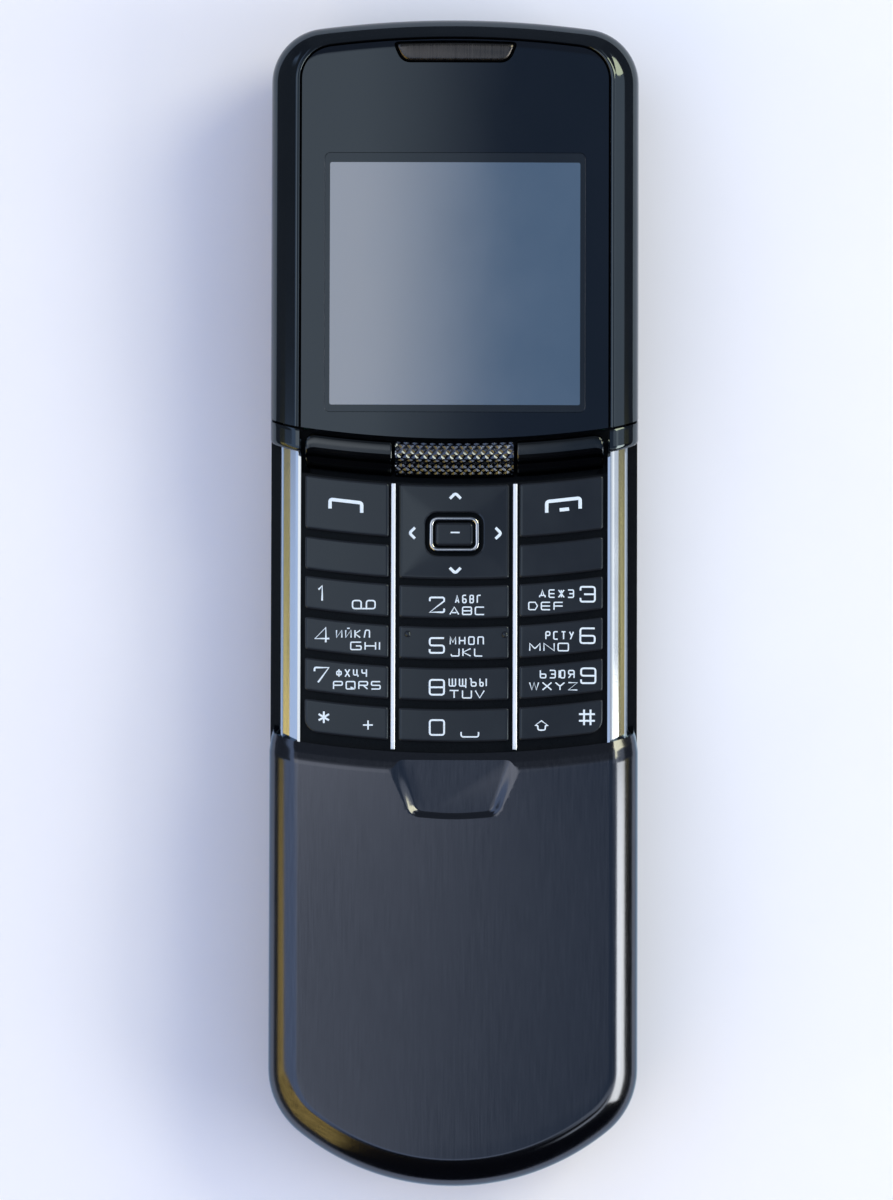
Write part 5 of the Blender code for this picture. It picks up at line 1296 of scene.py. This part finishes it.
def make_dividers():
    """The bright strips between the columns of keys, with rounded tops. Part of their brightness is a
    reflection painted into their pale finish.
    """
    turn = math.radians(DIVIDER_ROUND_TILT)
    radius = DIVIDER_WIDTH / 2 / math.sin(turn)
    for node in ("column_divider_left", "column_divider_right"):
        middle_x = middle_of(node, 0)
        low_z = edge(node, 2, False)
        section = [(middle_x - DIVIDER_WIDTH / 2, low_z)]
        for step in range(DIVIDER_ROUND_STEPS + 1):
            angle = turn * (2 * step / DIVIDER_ROUND_STEPS - 1)
            section.append((middle_x + radius * math.sin(angle), KEY_TOP_Z - radius * (1 - math.cos(angle))))
        section.append((middle_x + DIVIDER_WIDTH / 2, low_z))
        bar_along(f"{node}_strip", section, DIVIDER_PAINTED_SHEEN, node)


# Soft keys and grip: a rolled section, as shares of the length from its far edge and of the height
ROLL_LENGTH = 4.2 * MM
ROLL_DROP = 0.45 * MM
ROLL_TOP_Y = HOUSING_EDGE_Y - 0.5 * MM
ROLL_TOP_Z = THICKNESS - ROLL_DROP
ROLL_SHARES = ((0.0, 0.90), (0.02, 0.94), (0.06, 0.97), (0.12, 0.99), (0.20, 1.0), (0.30, 1.0),
               (0.40, 0.99), (0.50, 0.955), (0.55, 0.92), (0.585, 0.86), (0.62, 0.77), (0.66, 0.69),
               (0.68, 0.672), (0.78, 0.60), (0.90, 0.48), (0.95, 0.40), (0.985, 0.30), (1.0, 0.20))
ROLL_END_ROUND = 0.22 * MM
ROLL_END_STEPS = 4
ROLL_STRIPS = 20
SOFT_KEY_IN_X = 7.6 * MM
SOFT_KEY_OUT_X = 18.15 * MM
SOFT_KEY_CORNER = 1.2 * MM
GRIP_HALF_WIDTH = 7.3 * MM
KNURL_PITCH = 1.07 * MM
KNURL_PARTS = 8
KNURL_HEIGHT = 0.17 * MM
KNURL_FROM = 0.3 * MM
KNURL_FLAT = 0.75
KNURL_CREASE = 14.0


def roll_path():
    height = ROLL_TOP_Z - KEY_FOOT_Z
    return [(ROLL_TOP_Y - along * ROLL_LENGTH, KEY_FOOT_Z + rise * height) for along, rise in ROLL_SHARES]


def path_normals(path):
    """Outward normals of a path that runs over the top toward -Y."""
    normals = []
    for index in range(len(path)):
        before = Vector(path[max(0, index - 1)])
        after = Vector(path[min(len(path) - 1, index + 1)])
        along = (after - before).normalized()
        normals.append((along.y, -along.x) if along.y > 0 and along.x > 0 else (-along.y, along.x))
    return [(y, z) if z >= 0 else (-y, -z) for y, z in normals]


def bar_rings(xs_and_insets, path):
    """Rings of a rolled bar: each has its X, how far it draws in, and how far its far edge draws back."""
    normals = path_normals(path)
    rings = []
    for x, inset, back in xs_and_insets:
        ring = []
        for (y, z), (ny, nz) in zip(path, normals):
            share = (y - path[-1][0]) / ROLL_LENGTH
            ring.append((y - ny * inset - back * share, z - nz * inset))
        ring = [(path[0][0] - inset - back, KEY_FOOT_Z)] + ring + [(path[-1][0] + inset, KEY_FOOT_Z)]
        rings.append([(x, y + smile(x), z - crown_drop(x, z)) for y, z in ring])
    return rings


def make_soft_key(node, side):
    low_x, high_x = sorted((side * SOFT_KEY_IN_X, side * SOFT_KEY_OUT_X))
    ends = quarter_round(ROLL_END_ROUND, ROLL_END_ROUND, ROLL_END_STEPS)
    reaches = [(low_x + along, inset) for along, inset in ends]
    for strip in range(1, ROLL_STRIPS):
        reaches.append((low_x + (high_x - low_x) * strip / ROLL_STRIPS, 0.0))
    reaches += [(high_x - along, inset) for along, inset in reversed(ends)]
    outer = side * SOFT_KEY_OUT_X
    rows = [(x, inset, round_drop(abs(outer - x), SOFT_KEY_CORNER)) for x, inset in reaches]
    bm = solid(bar_rings(rows, roll_path()))
    settle(link(f"{node}_bar", bm, SOFT_KEY_METAL, node, "soft_key_metal", node), SHARP_CREASE)


def knurl(x, along):
    """Height of the diamond knurl: pyramids where two families of grooves cross."""
    u, v = x / KNURL_PITCH, along / KNURL_PITCH
    waves = [1 - 2 * abs((value % 1.0) - 1 / 2) for value in (u + v, u - v)]
    return KNURL_HEIGHT * min(1.0, min(waves) / KNURL_FLAT)


def evenly_along(coarse, step_length):
    """Points at equal steps along a path, each with its distance from the path's start."""
    lengths = [0.0]
    for before, after in zip(coarse, coarse[1:]):
        lengths.append(lengths[-1] + (Vector(after) - Vector(before)).length)
    points = []
    for step in range(int(lengths[-1] / step_length) + 1):
        distance = step * step_length
        index = max(i for i in range(len(lengths) - 1) if lengths[i] <= distance)
        share = (distance - lengths[index]) / (lengths[index + 1] - lengths[index])
        points.append((distance, tuple(Vector(coarse[index]).lerp(Vector(coarse[index + 1]), share))))
    return points


def make_grip():
    step_length = KNURL_PITCH / KNURL_PARTS
    distances, path = zip(*evenly_along(roll_path(), step_length))
    normals = path_normals(path)
    columns = 2 * int(GRIP_HALF_WIDTH / step_length)
    rings = []
    for column in range(columns + 1):
        x = (column - columns / 2) * step_length
        end = GRIP_HALF_WIDTH - abs(x)
        ring = [(path[0][0], KEY_FOOT_Z)]
        for distance, (y, z), (ny, nz) in zip(distances, path, normals):
            nearest = min(end, distance, distances[-1] - distance)
            lift = (knurl(x, distance) - KNURL_HEIGHT) * max(0.0, min(1.0, nearest / KNURL_FROM))
            ring.append((y + ny * lift, z + nz * lift))
        ring.append((path[-1][0], KEY_FOOT_Z))
        rings.append([(x, y + smile(x), z - crown_drop(x, z)) for y, z in ring])
    bm = solid(rings)
    settle(link("grip_bar_knurled", bm, GRIP, "handset", "knurled_metal", "grip_bar"), KNURL_CREASE)


# Earpiece bar: corners with radii, and its rounded edge
EARPIECE_OUTLINE = ((EARPIECE_HALF, 68.05 * MM, 0.8 * MM), (0.0, 68.25 * MM, 4.0 * MM),
                    (-EARPIECE_HALF, 68.05 * MM, 0.8 * MM), (-6.35 * MM, 65.75 * MM, 1.1 * MM),
                    (6.35 * MM, 65.75 * MM, 1.1 * MM))
EARPIECE_BASE_Z = THICKNESS - 1.25 * MM
EARPIECE_TOP_Z = THICKNESS - 0.10 * MM
EARPIECE_ROUND = 0.55 * MM
EARPIECE_ROUND_DROP = 0.40 * MM
EARPIECE_STEPS = 6


def earpiece_outline(grow_x, grow_y):
    """The earpiece bar's outline, grown about its middle."""
    outline = rounded_polygon(EARPIECE_OUTLINE, EARPIECE_STEPS, EARPIECE_STEPS)
    middle_x = sum(x for x, _ in outline) / len(outline)
    middle_y = (EARPIECE_OUTLINE[1][1] + EARPIECE_OUTLINE[-1][1]) / 2
    half_y = (EARPIECE_OUTLINE[1][1] - EARPIECE_OUTLINE[-1][1]) / 2
    share_x, share_y = 1 + grow_x / EARPIECE_HALF, 1 + grow_y / half_y
    return [(middle_x + (x - middle_x) * share_x, middle_y + (y - middle_y) * share_y) for x, y in outline]


def make_earpiece():
    levels = [(0.0, EARPIECE_BASE_Z)]
    for inset, drop in quarter_round(EARPIECE_ROUND, EARPIECE_ROUND_DROP, EARPIECE_STEPS):
        levels.append((inset, EARPIECE_TOP_Z - drop))
    rings = []
    for inset, z in levels:
        rings.append([(x, y, z - crown_drop(x, THICKNESS)) for x, y in earpiece_outline(-inset, -inset)])
    bm = solid(rings)
    settle(link("earpiece_bar", bm, EARPIECE_METAL, "handset", "black_metal", "earpiece_trim"))


def make_front_trim():
    make_collar("collar_left", -1)
    make_collar("collar_right", 1)
    make_rails()
    make_dividers()
    make_soft_key("soft_key_left", -1)
    make_soft_key("soft_key_right", 1)
    make_grip()
    make_earpiece()


# Back of the phone: the tray, its battery cover, the handset's back shell and top cap
BACK_STEPS = 14
BACK_FLOOR = 1.15 * MM
COVER_SPLIT_Z = 3.3 * MM
BACK_SHELL_WALL = 1.0 * MM
BACK_SHELL_CORNER = 3.0 * MM
TRAY_WALL_END = 6.85 * MM
SOUND_SLOTS = 4
RIM_FACING = 0.8
SOUND_SLOT_WIDTH = 0.8 * MM
SOUND_SLOT_LENGTH = 5.0 * MM
SOUND_SLOT_CORNER = 0.2 * MM
SOUND_SLOT_PITCH = 1.9 * MM
LENS_RADIUS = 3.1 * MM
LENS_STEPS = 48
LENS_GLASS_SHARE = 0.8
LENS_GLASS_IN = 0.2 * MM
CHIN_HOLE_Z = PARTING_HEIGHT - 2.6 * MM
SOCKET_HOLE_RADIUS = 1.25 * MM
SOUND_HOLE_RADIUS = 0.4 * MM
HOLE_SIDES = 32
POWER_Z = PARTING_HEIGHT - 2.1 * MM
POWER_HALF_WIDTH = 4.0 * MM
POWER_HALF_HEIGHT = 1.0 * MM
RELEASE_HALF_WIDTH = 3.2 * MM
RELEASE_HALF_LENGTH = 1.3 * MM
RELEASE_CORNER = RELEASE_HALF_LENGTH / 2


def back_profile(depth, floor, rim):
    """Insets and heights from the floor up the curved back shoulder to the rim."""
    height = PARTING_HEIGHT - floor
    stop = math.asin((PARTING_HEIGHT - rim) / height)
    levels = []
    for step in range(BACK_STEPS + 1):
        angle = math.pi / 2 + (stop - math.pi / 2) * step / BACK_STEPS
        inset = depth + (BACK_SHOULDER_IN - depth) * (1 - math.cos(angle))
        levels.append((inset, PARTING_HEIGHT - height * math.sin(angle)))
    return levels


def phone_tub(far_y, floor):
    """The phone's back as an open tub, from its top end at this Y round to the chin."""
    ends = end_curve(far_y, TOP_ARC_RADIUS, TOP_CORNER_RADIUS, HOUSING_CORNER_STEPS, HOUSING_ARC_STEPS)
    chin = end_curve(-CHIN_Y, CHIN_ARC_RADIUS, CHIN_CORNER_RADIUS, COVER_CORNER_STEPS, COVER_ARC_STEPS)
    ends += [(-x, -y, -nx, -ny) for x, y, nx, ny in chin]
    levels = back_profile(0.0, floor, SEAM_LOW_Z)
    return tub([[(x - nx * inset, y - ny * inset, z) for x, y, nx, ny in ends] for inset, z in levels])


def box_cutter(low, high):
    bm = bmesh.new()
    bmesh.ops.create_cube(bm, size=1.0)
    for vert in bm.verts:
        for axis in range(3):
            vert.co[axis] = high[axis] if vert.co[axis] > 0 else low[axis]
    return bm


def slab(low_y, high_y, low_z, high_z):
    """A cutter wider than the phone."""
    return box_cutter((-2 * HALF_WIDTH, low_y, low_z), (2 * HALF_WIDTH, high_y, high_z))


def round_hole(x, near_y, far_y, z, radius):
    """A cutter for a round hole along Y."""
    outline = circle(x, z, radius, HOLE_SIDES)
    return solid([[(px, y, pz) for px, pz in outline] for y in (near_y, far_y)])


def make_tray():
    """The tray's outer shell, open above, with the battery cover's place cut away."""
    far_y = edge("rear_tray", 1, True)
    tray = link("tray_shell", phone_tub(far_y, 0.0), BLACK_METAL, "slider", "black_metal", "rear_tray")
    thicken(tray, BACK_FLOOR)
    cut(tray, slab(far_y - TRAY_WALL_END, 2 * TOP_Y, BACK_FLOOR, THICKNESS))
    cut(tray, slab(2 * CHIN_Y, edge("battery_cover", 1, True) + SEAM_GAP, -OVERRUN, COVER_SPLIT_Z))
    hole = rounded_rectangle(RELEASE_HALF_WIDTH + FIT_GAP, RELEASE_HALF_LENGTH + FIT_GAP, RELEASE_CORNER,
                             0, middle_of("cover_release_button", 1))
    cut(tray, prism(hole, -OVERRUN, BACK_FLOOR + HAIRLINE))
    for name, radius in (("charge_socket", SOCKET_HOLE_RADIUS), ("microphone", SOUND_HOLE_RADIUS)):
        stop_y = edge(name, 1, False) + 2 * BACK_FLOOR
        cut(tray, round_hole(middle_of(name, 0), 2 * CHIN_Y, stop_y, CHIN_HOLE_Z, radius))
    settle(tray)
    tray.data.materials.append(DARK_PLASTIC)
    for face in tray.data.polygons:
        if face.normal.z > RIM_FACING and face.center.z > SEAM_LOW_Z - HAIRLINE:
            face.material_index = 1


def make_release_button():
    node = "cover_release_button"
    middle_y = middle_of(node, 1)
    outline = rounded_rectangle(RELEASE_HALF_WIDTH, RELEASE_HALF_LENGTH, RELEASE_CORNER, 0, middle_y)
    button = prism(outline, edge(node, 2, False), edge(node, 2, True))
    settle(link("release_button", button, DARK_SHELL, node, "black_metal", node))


def make_battery_cover():
    bm = phone_tub(edge("rear_tray", 1, True), 0.0)
    cover = link("battery_cover_shell", bm, BLACK_METAL, "battery_cover", "black_metal", "battery_cover")
    thicken(cover, BACK_FLOOR)
    cut(cover, slab(2 * CHIN_Y, 2 * TOP_Y, COVER_SPLIT_Z - SEAM_GAP, THICKNESS))
    cut(cover, slab(edge("battery_cover", 1, True), 2 * TOP_Y, -OVERRUN, THICKNESS))
    settle(cover)


def make_back_shell():
    """The handset's back, with the lens hole and the sound slots."""
    low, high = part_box("back_shell")
    rings = []
    for inset, z in back_profile(HALF_WIDTH - high.x, low.z, high.z):
        half_y, middle_y = (high.y - low.y) / 2, (high.y + low.y) / 2
        ring = rounded_rectangle(HALF_WIDTH - inset, half_y, BACK_SHELL_CORNER, 0, middle_y)
        rings.append([(x, y, z) for x, y in ring])
    shell = link("back_shell_cover", tub(rings), DARK_SHELL, "handset", "dark_shell", "back_shell")
    thicken(shell, BACK_SHELL_WALL)
    openings = [circle(0, middle_of("camera_lens", 1), LENS_RADIUS + FIT_GAP, LENS_STEPS)]
    for index in range(SOUND_SLOTS):
        x = middle_of("loudspeaker", 0) + (index - (SOUND_SLOTS - 1) / 2) * SOUND_SLOT_PITCH
        openings.append(rounded_rectangle(SOUND_SLOT_WIDTH / 2, SOUND_SLOT_LENGTH / 2, SOUND_SLOT_CORNER,
                                          x, middle_of("loudspeaker", 1)))
    for opening in openings:
        cut(shell, prism(opening, low.z - OVERRUN, low.z + OVERRUN))
    settle(shell)


def make_lens():
    """The camera's window with a bright ring round it."""
    low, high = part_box("camera_lens")
    middle_y = middle_of("camera_lens", 1)
    glass_radius = LENS_RADIUS * LENS_GLASS_SHARE
    ring = prism(circle(0, middle_y, LENS_RADIUS, LENS_STEPS), low.z, high.z)
    made = link("camera_ring", ring, CHROME, "handset", "chrome_trim", "camera_lens")
    cut(made, prism(circle(0, middle_y, glass_radius, LENS_STEPS), low.z - OVERRUN, high.z + OVERRUN))
    settle(made)
    glass = prism(circle(0, middle_y, glass_radius - HAIRLINE, LENS_STEPS), low.z + LENS_GLASS_IN, high.z)
    settle(link("camera_glass", glass, BEZEL_GLASS, "handset", "bezel_glass"))


def make_top_cap():
    """The shell that closes the top end, with the power key's hole."""
    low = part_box("top_cap")[0]
    bm = phone_tub(TOP_Y, low.z)
    cap = link("top_cap_shell", bm, BLACK_METAL, "handset", "black_metal", "top_cap")
    thicken(cap, BACK_SHELL_WALL)
    cut(cap, slab(2 * CHIN_Y, low.y, -OVERRUN, THICKNESS))
    hole_x, hole_z = POWER_HALF_WIDTH + FIT_GAP, POWER_HALF_HEIGHT + FIT_GAP
    near = (-hole_x, TOP_Y - 2 * OVERRUN, POWER_Z - hole_z)
    cut(cap, box_cutter(near, (hole_x, TOP_Y + OVERRUN, POWER_Z + hole_z)))
    settle(cap)


def make_back():
    make_tray()
    make_release_button()
    make_battery_cover()
    make_back_shell()
    make_lens()
    make_top_cap()


# Camera: nearly straight above the open phone
IMAGE_WIDTH_SHARE = 893 / 1200
VIEW_HEIGHT = 147.2 * MM
VIEW_DISTANCE = 700.0 * MM
VIEW_TILT = 2.0
VIEW_ROLL = 0.16
VIEW_AIM = Vector((-0.92 * MM, 0.25 * MM, 10.0 * MM))
SENSOR = 36.0

# The table: half its width, its squares per side and its finish
TABLE_HALF = 1.5
TABLE_SQUARES = 8
TABLE_SCALE = (40.0, 40.0, 40.0)
TABLE_COLOUR = (0.86, 0.88, 0.94)
TABLE_COLOURS = ((0.85, 0.87, 0.93), (0.87, 0.89, 0.95))
TABLE_ROUGHNESS = 0.6
TABLE_SPECULAR = 0.2

# The lamps: each one's place, what it faces, its two sizes, its power and its colour
LAMPS = {
    "window": ((0.73, 0.50, 0.66), (0, 0, 0), (0.46, 0.50), 4.4, (1.0, 0.89, 0.52)),
    "side_window": ((0.77, -0.255, 0.46), (0, -0.255, 0), (0.49, 0.30), 3.2, (1.0, 0.95, 0.84)),
}


def make_camera():
    data = bpy.data.cameras.new("camera")
    data.sensor_fit = "VERTICAL"
    data.sensor_height = SENSOR
    data.sensor_width = SENSOR * IMAGE_WIDTH_SHARE
    data.lens = SENSOR * VIEW_DISTANCE / VIEW_HEIGHT
    made = add("camera", data)
    turn = Matrix.Rotation(math.radians(VIEW_TILT), 4, "X") @ Matrix.Rotation(math.radians(VIEW_ROLL), 4, "Z")
    made.matrix_world = Matrix.Translation(VIEW_AIM) @ turn @ Matrix.Translation((0, 0, VIEW_DISTANCE))
    bpy.context.scene.camera = made


def area_light(name, spot, target, size, power, colour):
    data = bpy.data.lights.new(name, "AREA")
    data.shape = "RECTANGLE"
    data.size, data.size_y = size
    data.energy = power
    data.color = colour
    made = add(name, data)
    made.location = spot
    made.rotation_euler = (Vector(target) - Vector(spot)).to_track_quat("-Z", "Y").to_euler()


# The surround: colours, and the limits of its zones in a direction's X, Y and Z
SKY_STRENGTH = 1.42
LEFT_SKY = (0.39, 0.49, 0.70)
RIGHT_SKY = (0.46, 0.50, 0.57)
SKY_SIDES = (-0.25, 0.25)
GROUND = (0.05, 0.06, 0.08)
LAWN = ((0.40, (0.05, 0.05, 0.02)), (0.62, (0.75, 0.64, 0.28)))
GOLD = ((0.44, (0.02, 0.02, 0.02)), (0.58, (2.0, 1.35, 0.38)))
LAWN_SCALE = (6.0, 90.0, 30.0)
LAWN_TOP = (0.42, 0.38)
LAWN_BOTTOM = (0.16, 0.22)
LAWN_RISE = 1.1
LAWN_BEYOND = (0.075, 0.050)
OVERHEAD_SIDES = (0.48, 0.38)
LOW_SHIFT = -0.25
OVERHEAD_NEAR = (-0.21, -0.15)
OVERHEAD_DARK = (0.10, 0.14, 0.21)
OVERHEAD_LIGHT = (0.86, 0.86, 0.90)
OVERHEAD_MIDDLE = 0.34
OVERHEAD_ACROSS = -15.0
OVERHEAD_NOISE_SCALE = 22.0
OVERHEAD_NOISE = 0.55
OVERHEAD_FAR = (0.17, 0.30)
FAR_DARK = (0.07, 0.08, 0.10)
NEAR_FAR = (-0.24, -0.29)
NEAR_DARK = (0.008, 0.009, 0.014)
NEAR_LEAN = 0.5
NEAR_SIDES = (0.10, 0.0)
LOW_MIDDLE = 0.25
LOW_ACROSS = -2.0
LOW_NEAR = (0.012, 0.002)
RIGHT_SIDES = (0.05, 0.15)
RIGHT_BLACK_TOP = (0.45, 0.40)
STRIP = (0.86, 0.89, 0.92)
STRIP_BOTTOM = (0.60, 0.64)
STRIP_TOP = (0.75, 0.71)
PATCH_SIDES = (-0.024, -0.016)
PATCH_NEAR = (-0.045, -0.051)
PATCH_SHARE = 0.75
LEFT_DARK_SIDES = (-0.68, -0.78)
LEFT_DARK_NEAR = (0.050, 0.075)
FILL = (0.20, 0.235, 0.35)


def math_node(tree, operation, first, second=0.0, third=0.0):
    """One arithmetic step on values or sockets."""
    made = tree.nodes.new("ShaderNodeMath")
    made.operation = operation
    for socket, value in zip(made.inputs, (first, second, third)):
        if isinstance(value, float):
            socket.default_value = value
        else:
            tree.links.new(value, socket)
    return made.outputs["Value"]


def step_node(tree, value, limits):
    """A soft step from 0 at the first limit to 1 at the second."""
    made = tree.nodes.new("ShaderNodeMapRange")
    made.interpolation_type = "SMOOTHSTEP"
    made.inputs["From Min"].default_value = min(limits)
    made.inputs["From Max"].default_value = max(limits)
    made.inputs["To Min"].default_value = 0.0 if limits[0] < limits[1] else 1.0
    made.inputs["To Max"].default_value = 1.0 if limits[0] < limits[1] else 0.0
    tree.links.new(value, made.inputs["Value"])
    return made.outputs["Result"]


def both(tree, first, *others):
    for other in others:
        first = math_node(tree, "MULTIPLY", first, other)
    return first


def mix_node(tree, factor, under, over, blend="MIX"):
    """Lays one colour over another; a colour is a socket or three numbers."""
    made = tree.nodes.new("ShaderNodeMix")
    made.data_type = "RGBA"
    made.blend_type = blend
    for name, value in (("Factor", factor), ("A", under), ("B", over)):
        if isinstance(value, tuple):
            made.inputs[name].default_value = (*value, 1.0)
        else:
            tree.links.new(value, made.inputs[name])
    return made.outputs["Result"]


def lay_zones(tree, colour, zones):
    """Lays colours over one another, each where all of its masks are."""
    for over, *masks in zones:
        colour = mix_node(tree, both(tree, *masks), colour, over)
    return colour


def world_noise(tree, vector, scale):
    made = tree.nodes.new("ShaderNodeTexNoise")
    made.inputs["Scale"].default_value = scale
    tree.links.new(vector, made.inputs["Vector"])
    return made.outputs["Fac"]


def side_colours(tree, source, x, y, z, lower):
    """Sky, sunlit lawn and dark ground, which show toward the sides."""
    stretched = tree.nodes.new("ShaderNodeMapping")
    stretched.inputs["Scale"].default_value = LAWN_SCALE
    tree.links.new(source, stretched.inputs["Vector"])
    grass = world_noise(tree, stretched.outputs["Vector"], 1.0)
    lawn = mix_node(tree, lower, ramp_node(tree, grass, LAWN), ramp_node(tree, grass, GOLD))
    right = step_node(tree, x, RIGHT_SIDES)
    toward_near = math_node(tree, "MINIMUM", y, 0.0)
    lawn_z = math_node(tree, "MULTIPLY_ADD", toward_near, LAWN_RISE, z)
    under_sky = step_node(tree, lawn_z, LAWN_TOP)
    sky = mix_node(tree, step_node(tree, x, SKY_SIDES), LEFT_SKY, RIGHT_SKY)
    return lay_zones(tree, sky, (
        (GROUND, under_sky),
        (lawn, under_sky, step_node(tree, z, LAWN_BOTTOM), step_node(tree, y, LAWN_BEYOND)),
        (NEAR_DARK, right, lower, step_node(tree, lawn_z, RIGHT_BLACK_TOP)),
        (STRIP, step_node(tree, z, STRIP_BOTTOM), step_node(tree, z, STRIP_TOP), right),
        (FAR_DARK, step_node(tree, x, LEFT_DARK_SIDES), step_node(tree, y, LEFT_DARK_NEAR)),
    ))


def overhead_colours(tree, source, x, y, lower):
    """A dark zone overhead, with a cloud's edge across it."""
    cloud = world_noise(tree, source, OVERHEAD_NOISE_SCALE)
    upper = math_node(tree, "SUBTRACT", 1.0, lower)
    across = both(tree, math_node(tree, "MULTIPLY_ADD", x, OVERHEAD_ACROSS, OVERHEAD_MIDDLE), upper)
    low_across = both(tree, math_node(tree, "MULTIPLY_ADD", x, LOW_ACROSS, LOW_MIDDLE), lower)
    mottle = math_node(tree, "MULTIPLY_ADD", cloud, OVERHEAD_NOISE, -OVERHEAD_NOISE / 2)
    across = math_node(tree, "ADD", math_node(tree, "ADD", across, low_across), mottle)
    overhead = ramp_node(tree, across, [(0.0, OVERHEAD_DARK), (1.0, OVERHEAD_LIGHT)])
    return lay_zones(tree, overhead, (
        (FAR_DARK, step_node(tree, y, OVERHEAD_FAR)),
        (OVERHEAD_DARK, step_node(tree, x, PATCH_SIDES), step_node(tree, y, PATCH_NEAR), PATCH_SHARE),
    ))


def make_surround():
    """An overcast surround, as the phone mirrors it."""
    world = bpy.data.worlds.new("surround")
    world.use_nodes = True
    tree = world.node_tree
    source = tree.nodes.new("ShaderNodeTexCoord").outputs["Generated"]
    parts = tree.nodes.new("ShaderNodeSeparateXYZ")
    tree.links.new(source, parts.inputs["Vector"])
    x, y, z = (parts.outputs[axis] for axis in "XYZ")
    lower = step_node(tree, y, LOW_NEAR)
    shifted = math_node(tree, "MULTIPLY_ADD", lower, LOW_SHIFT, x)
    within = step_node(tree, math_node(tree, "ABSOLUTE", shifted), OVERHEAD_SIDES)
    beside = math_node(tree, "MULTIPLY_ADD", y, NEAR_LEAN, math_node(tree, "ABSOLUTE", x))
    colour = lay_zones(tree, side_colours(tree, source, x, y, z, lower), (
        (overhead_colours(tree, source, x, y, lower), within, step_node(tree, y, OVERHEAD_NEAR)),
        (NEAR_DARK, step_node(tree, beside, NEAR_SIDES), step_node(tree, y, NEAR_FAR)),
    ))

    # Seen and mirrored, the surround is as above. For plain light a little blue is added
    paths = tree.nodes.new("ShaderNodeLightPath").outputs
    seen = math_node(tree, "MAXIMUM", paths["Is Camera Ray"], paths["Is Glossy Ray"])
    seen = math_node(tree, "MAXIMUM", seen, paths["Is Transmission Ray"])
    colour = mix_node(tree, math_node(tree, "SUBTRACT", 1.0, seen), colour, FILL, "ADD")
    background = tree.nodes["Background"]
    tree.links.new(colour, background.inputs["Color"])
    background.inputs["Strength"].default_value = SKY_STRENGTH
    bpy.context.scene.world = world


def make_stage():
    """A pale table, a soft light from the upper right and a low strip of light at the right."""
    material, tree, shader = node_material("table", TABLE_COLOUR, TABLE_ROUGHNESS, 0.0, TABLE_SPECULAR)
    tint(tree, noise(tree, TABLE_SCALE), TABLE_COLOURS, shader)
    bm = bmesh.new()
    bmesh.ops.create_grid(bm, x_segments=TABLE_SQUARES, y_segments=TABLE_SQUARES, size=TABLE_HALF)
    table = place("table", bm)
    table.data.materials.append(material)
    table.location.z = -HAIRLINE
    for name, settings in LAMPS.items():
        area_light(name, *settings)
    make_surround()
    bpy.context.scene.view_settings.view_transform = "Standard"


dress_nodes()
make_front_cover()
make_housing()
make_glass()
make_keys()
make_front_trim()
make_back()
make_camera()
make_stage()
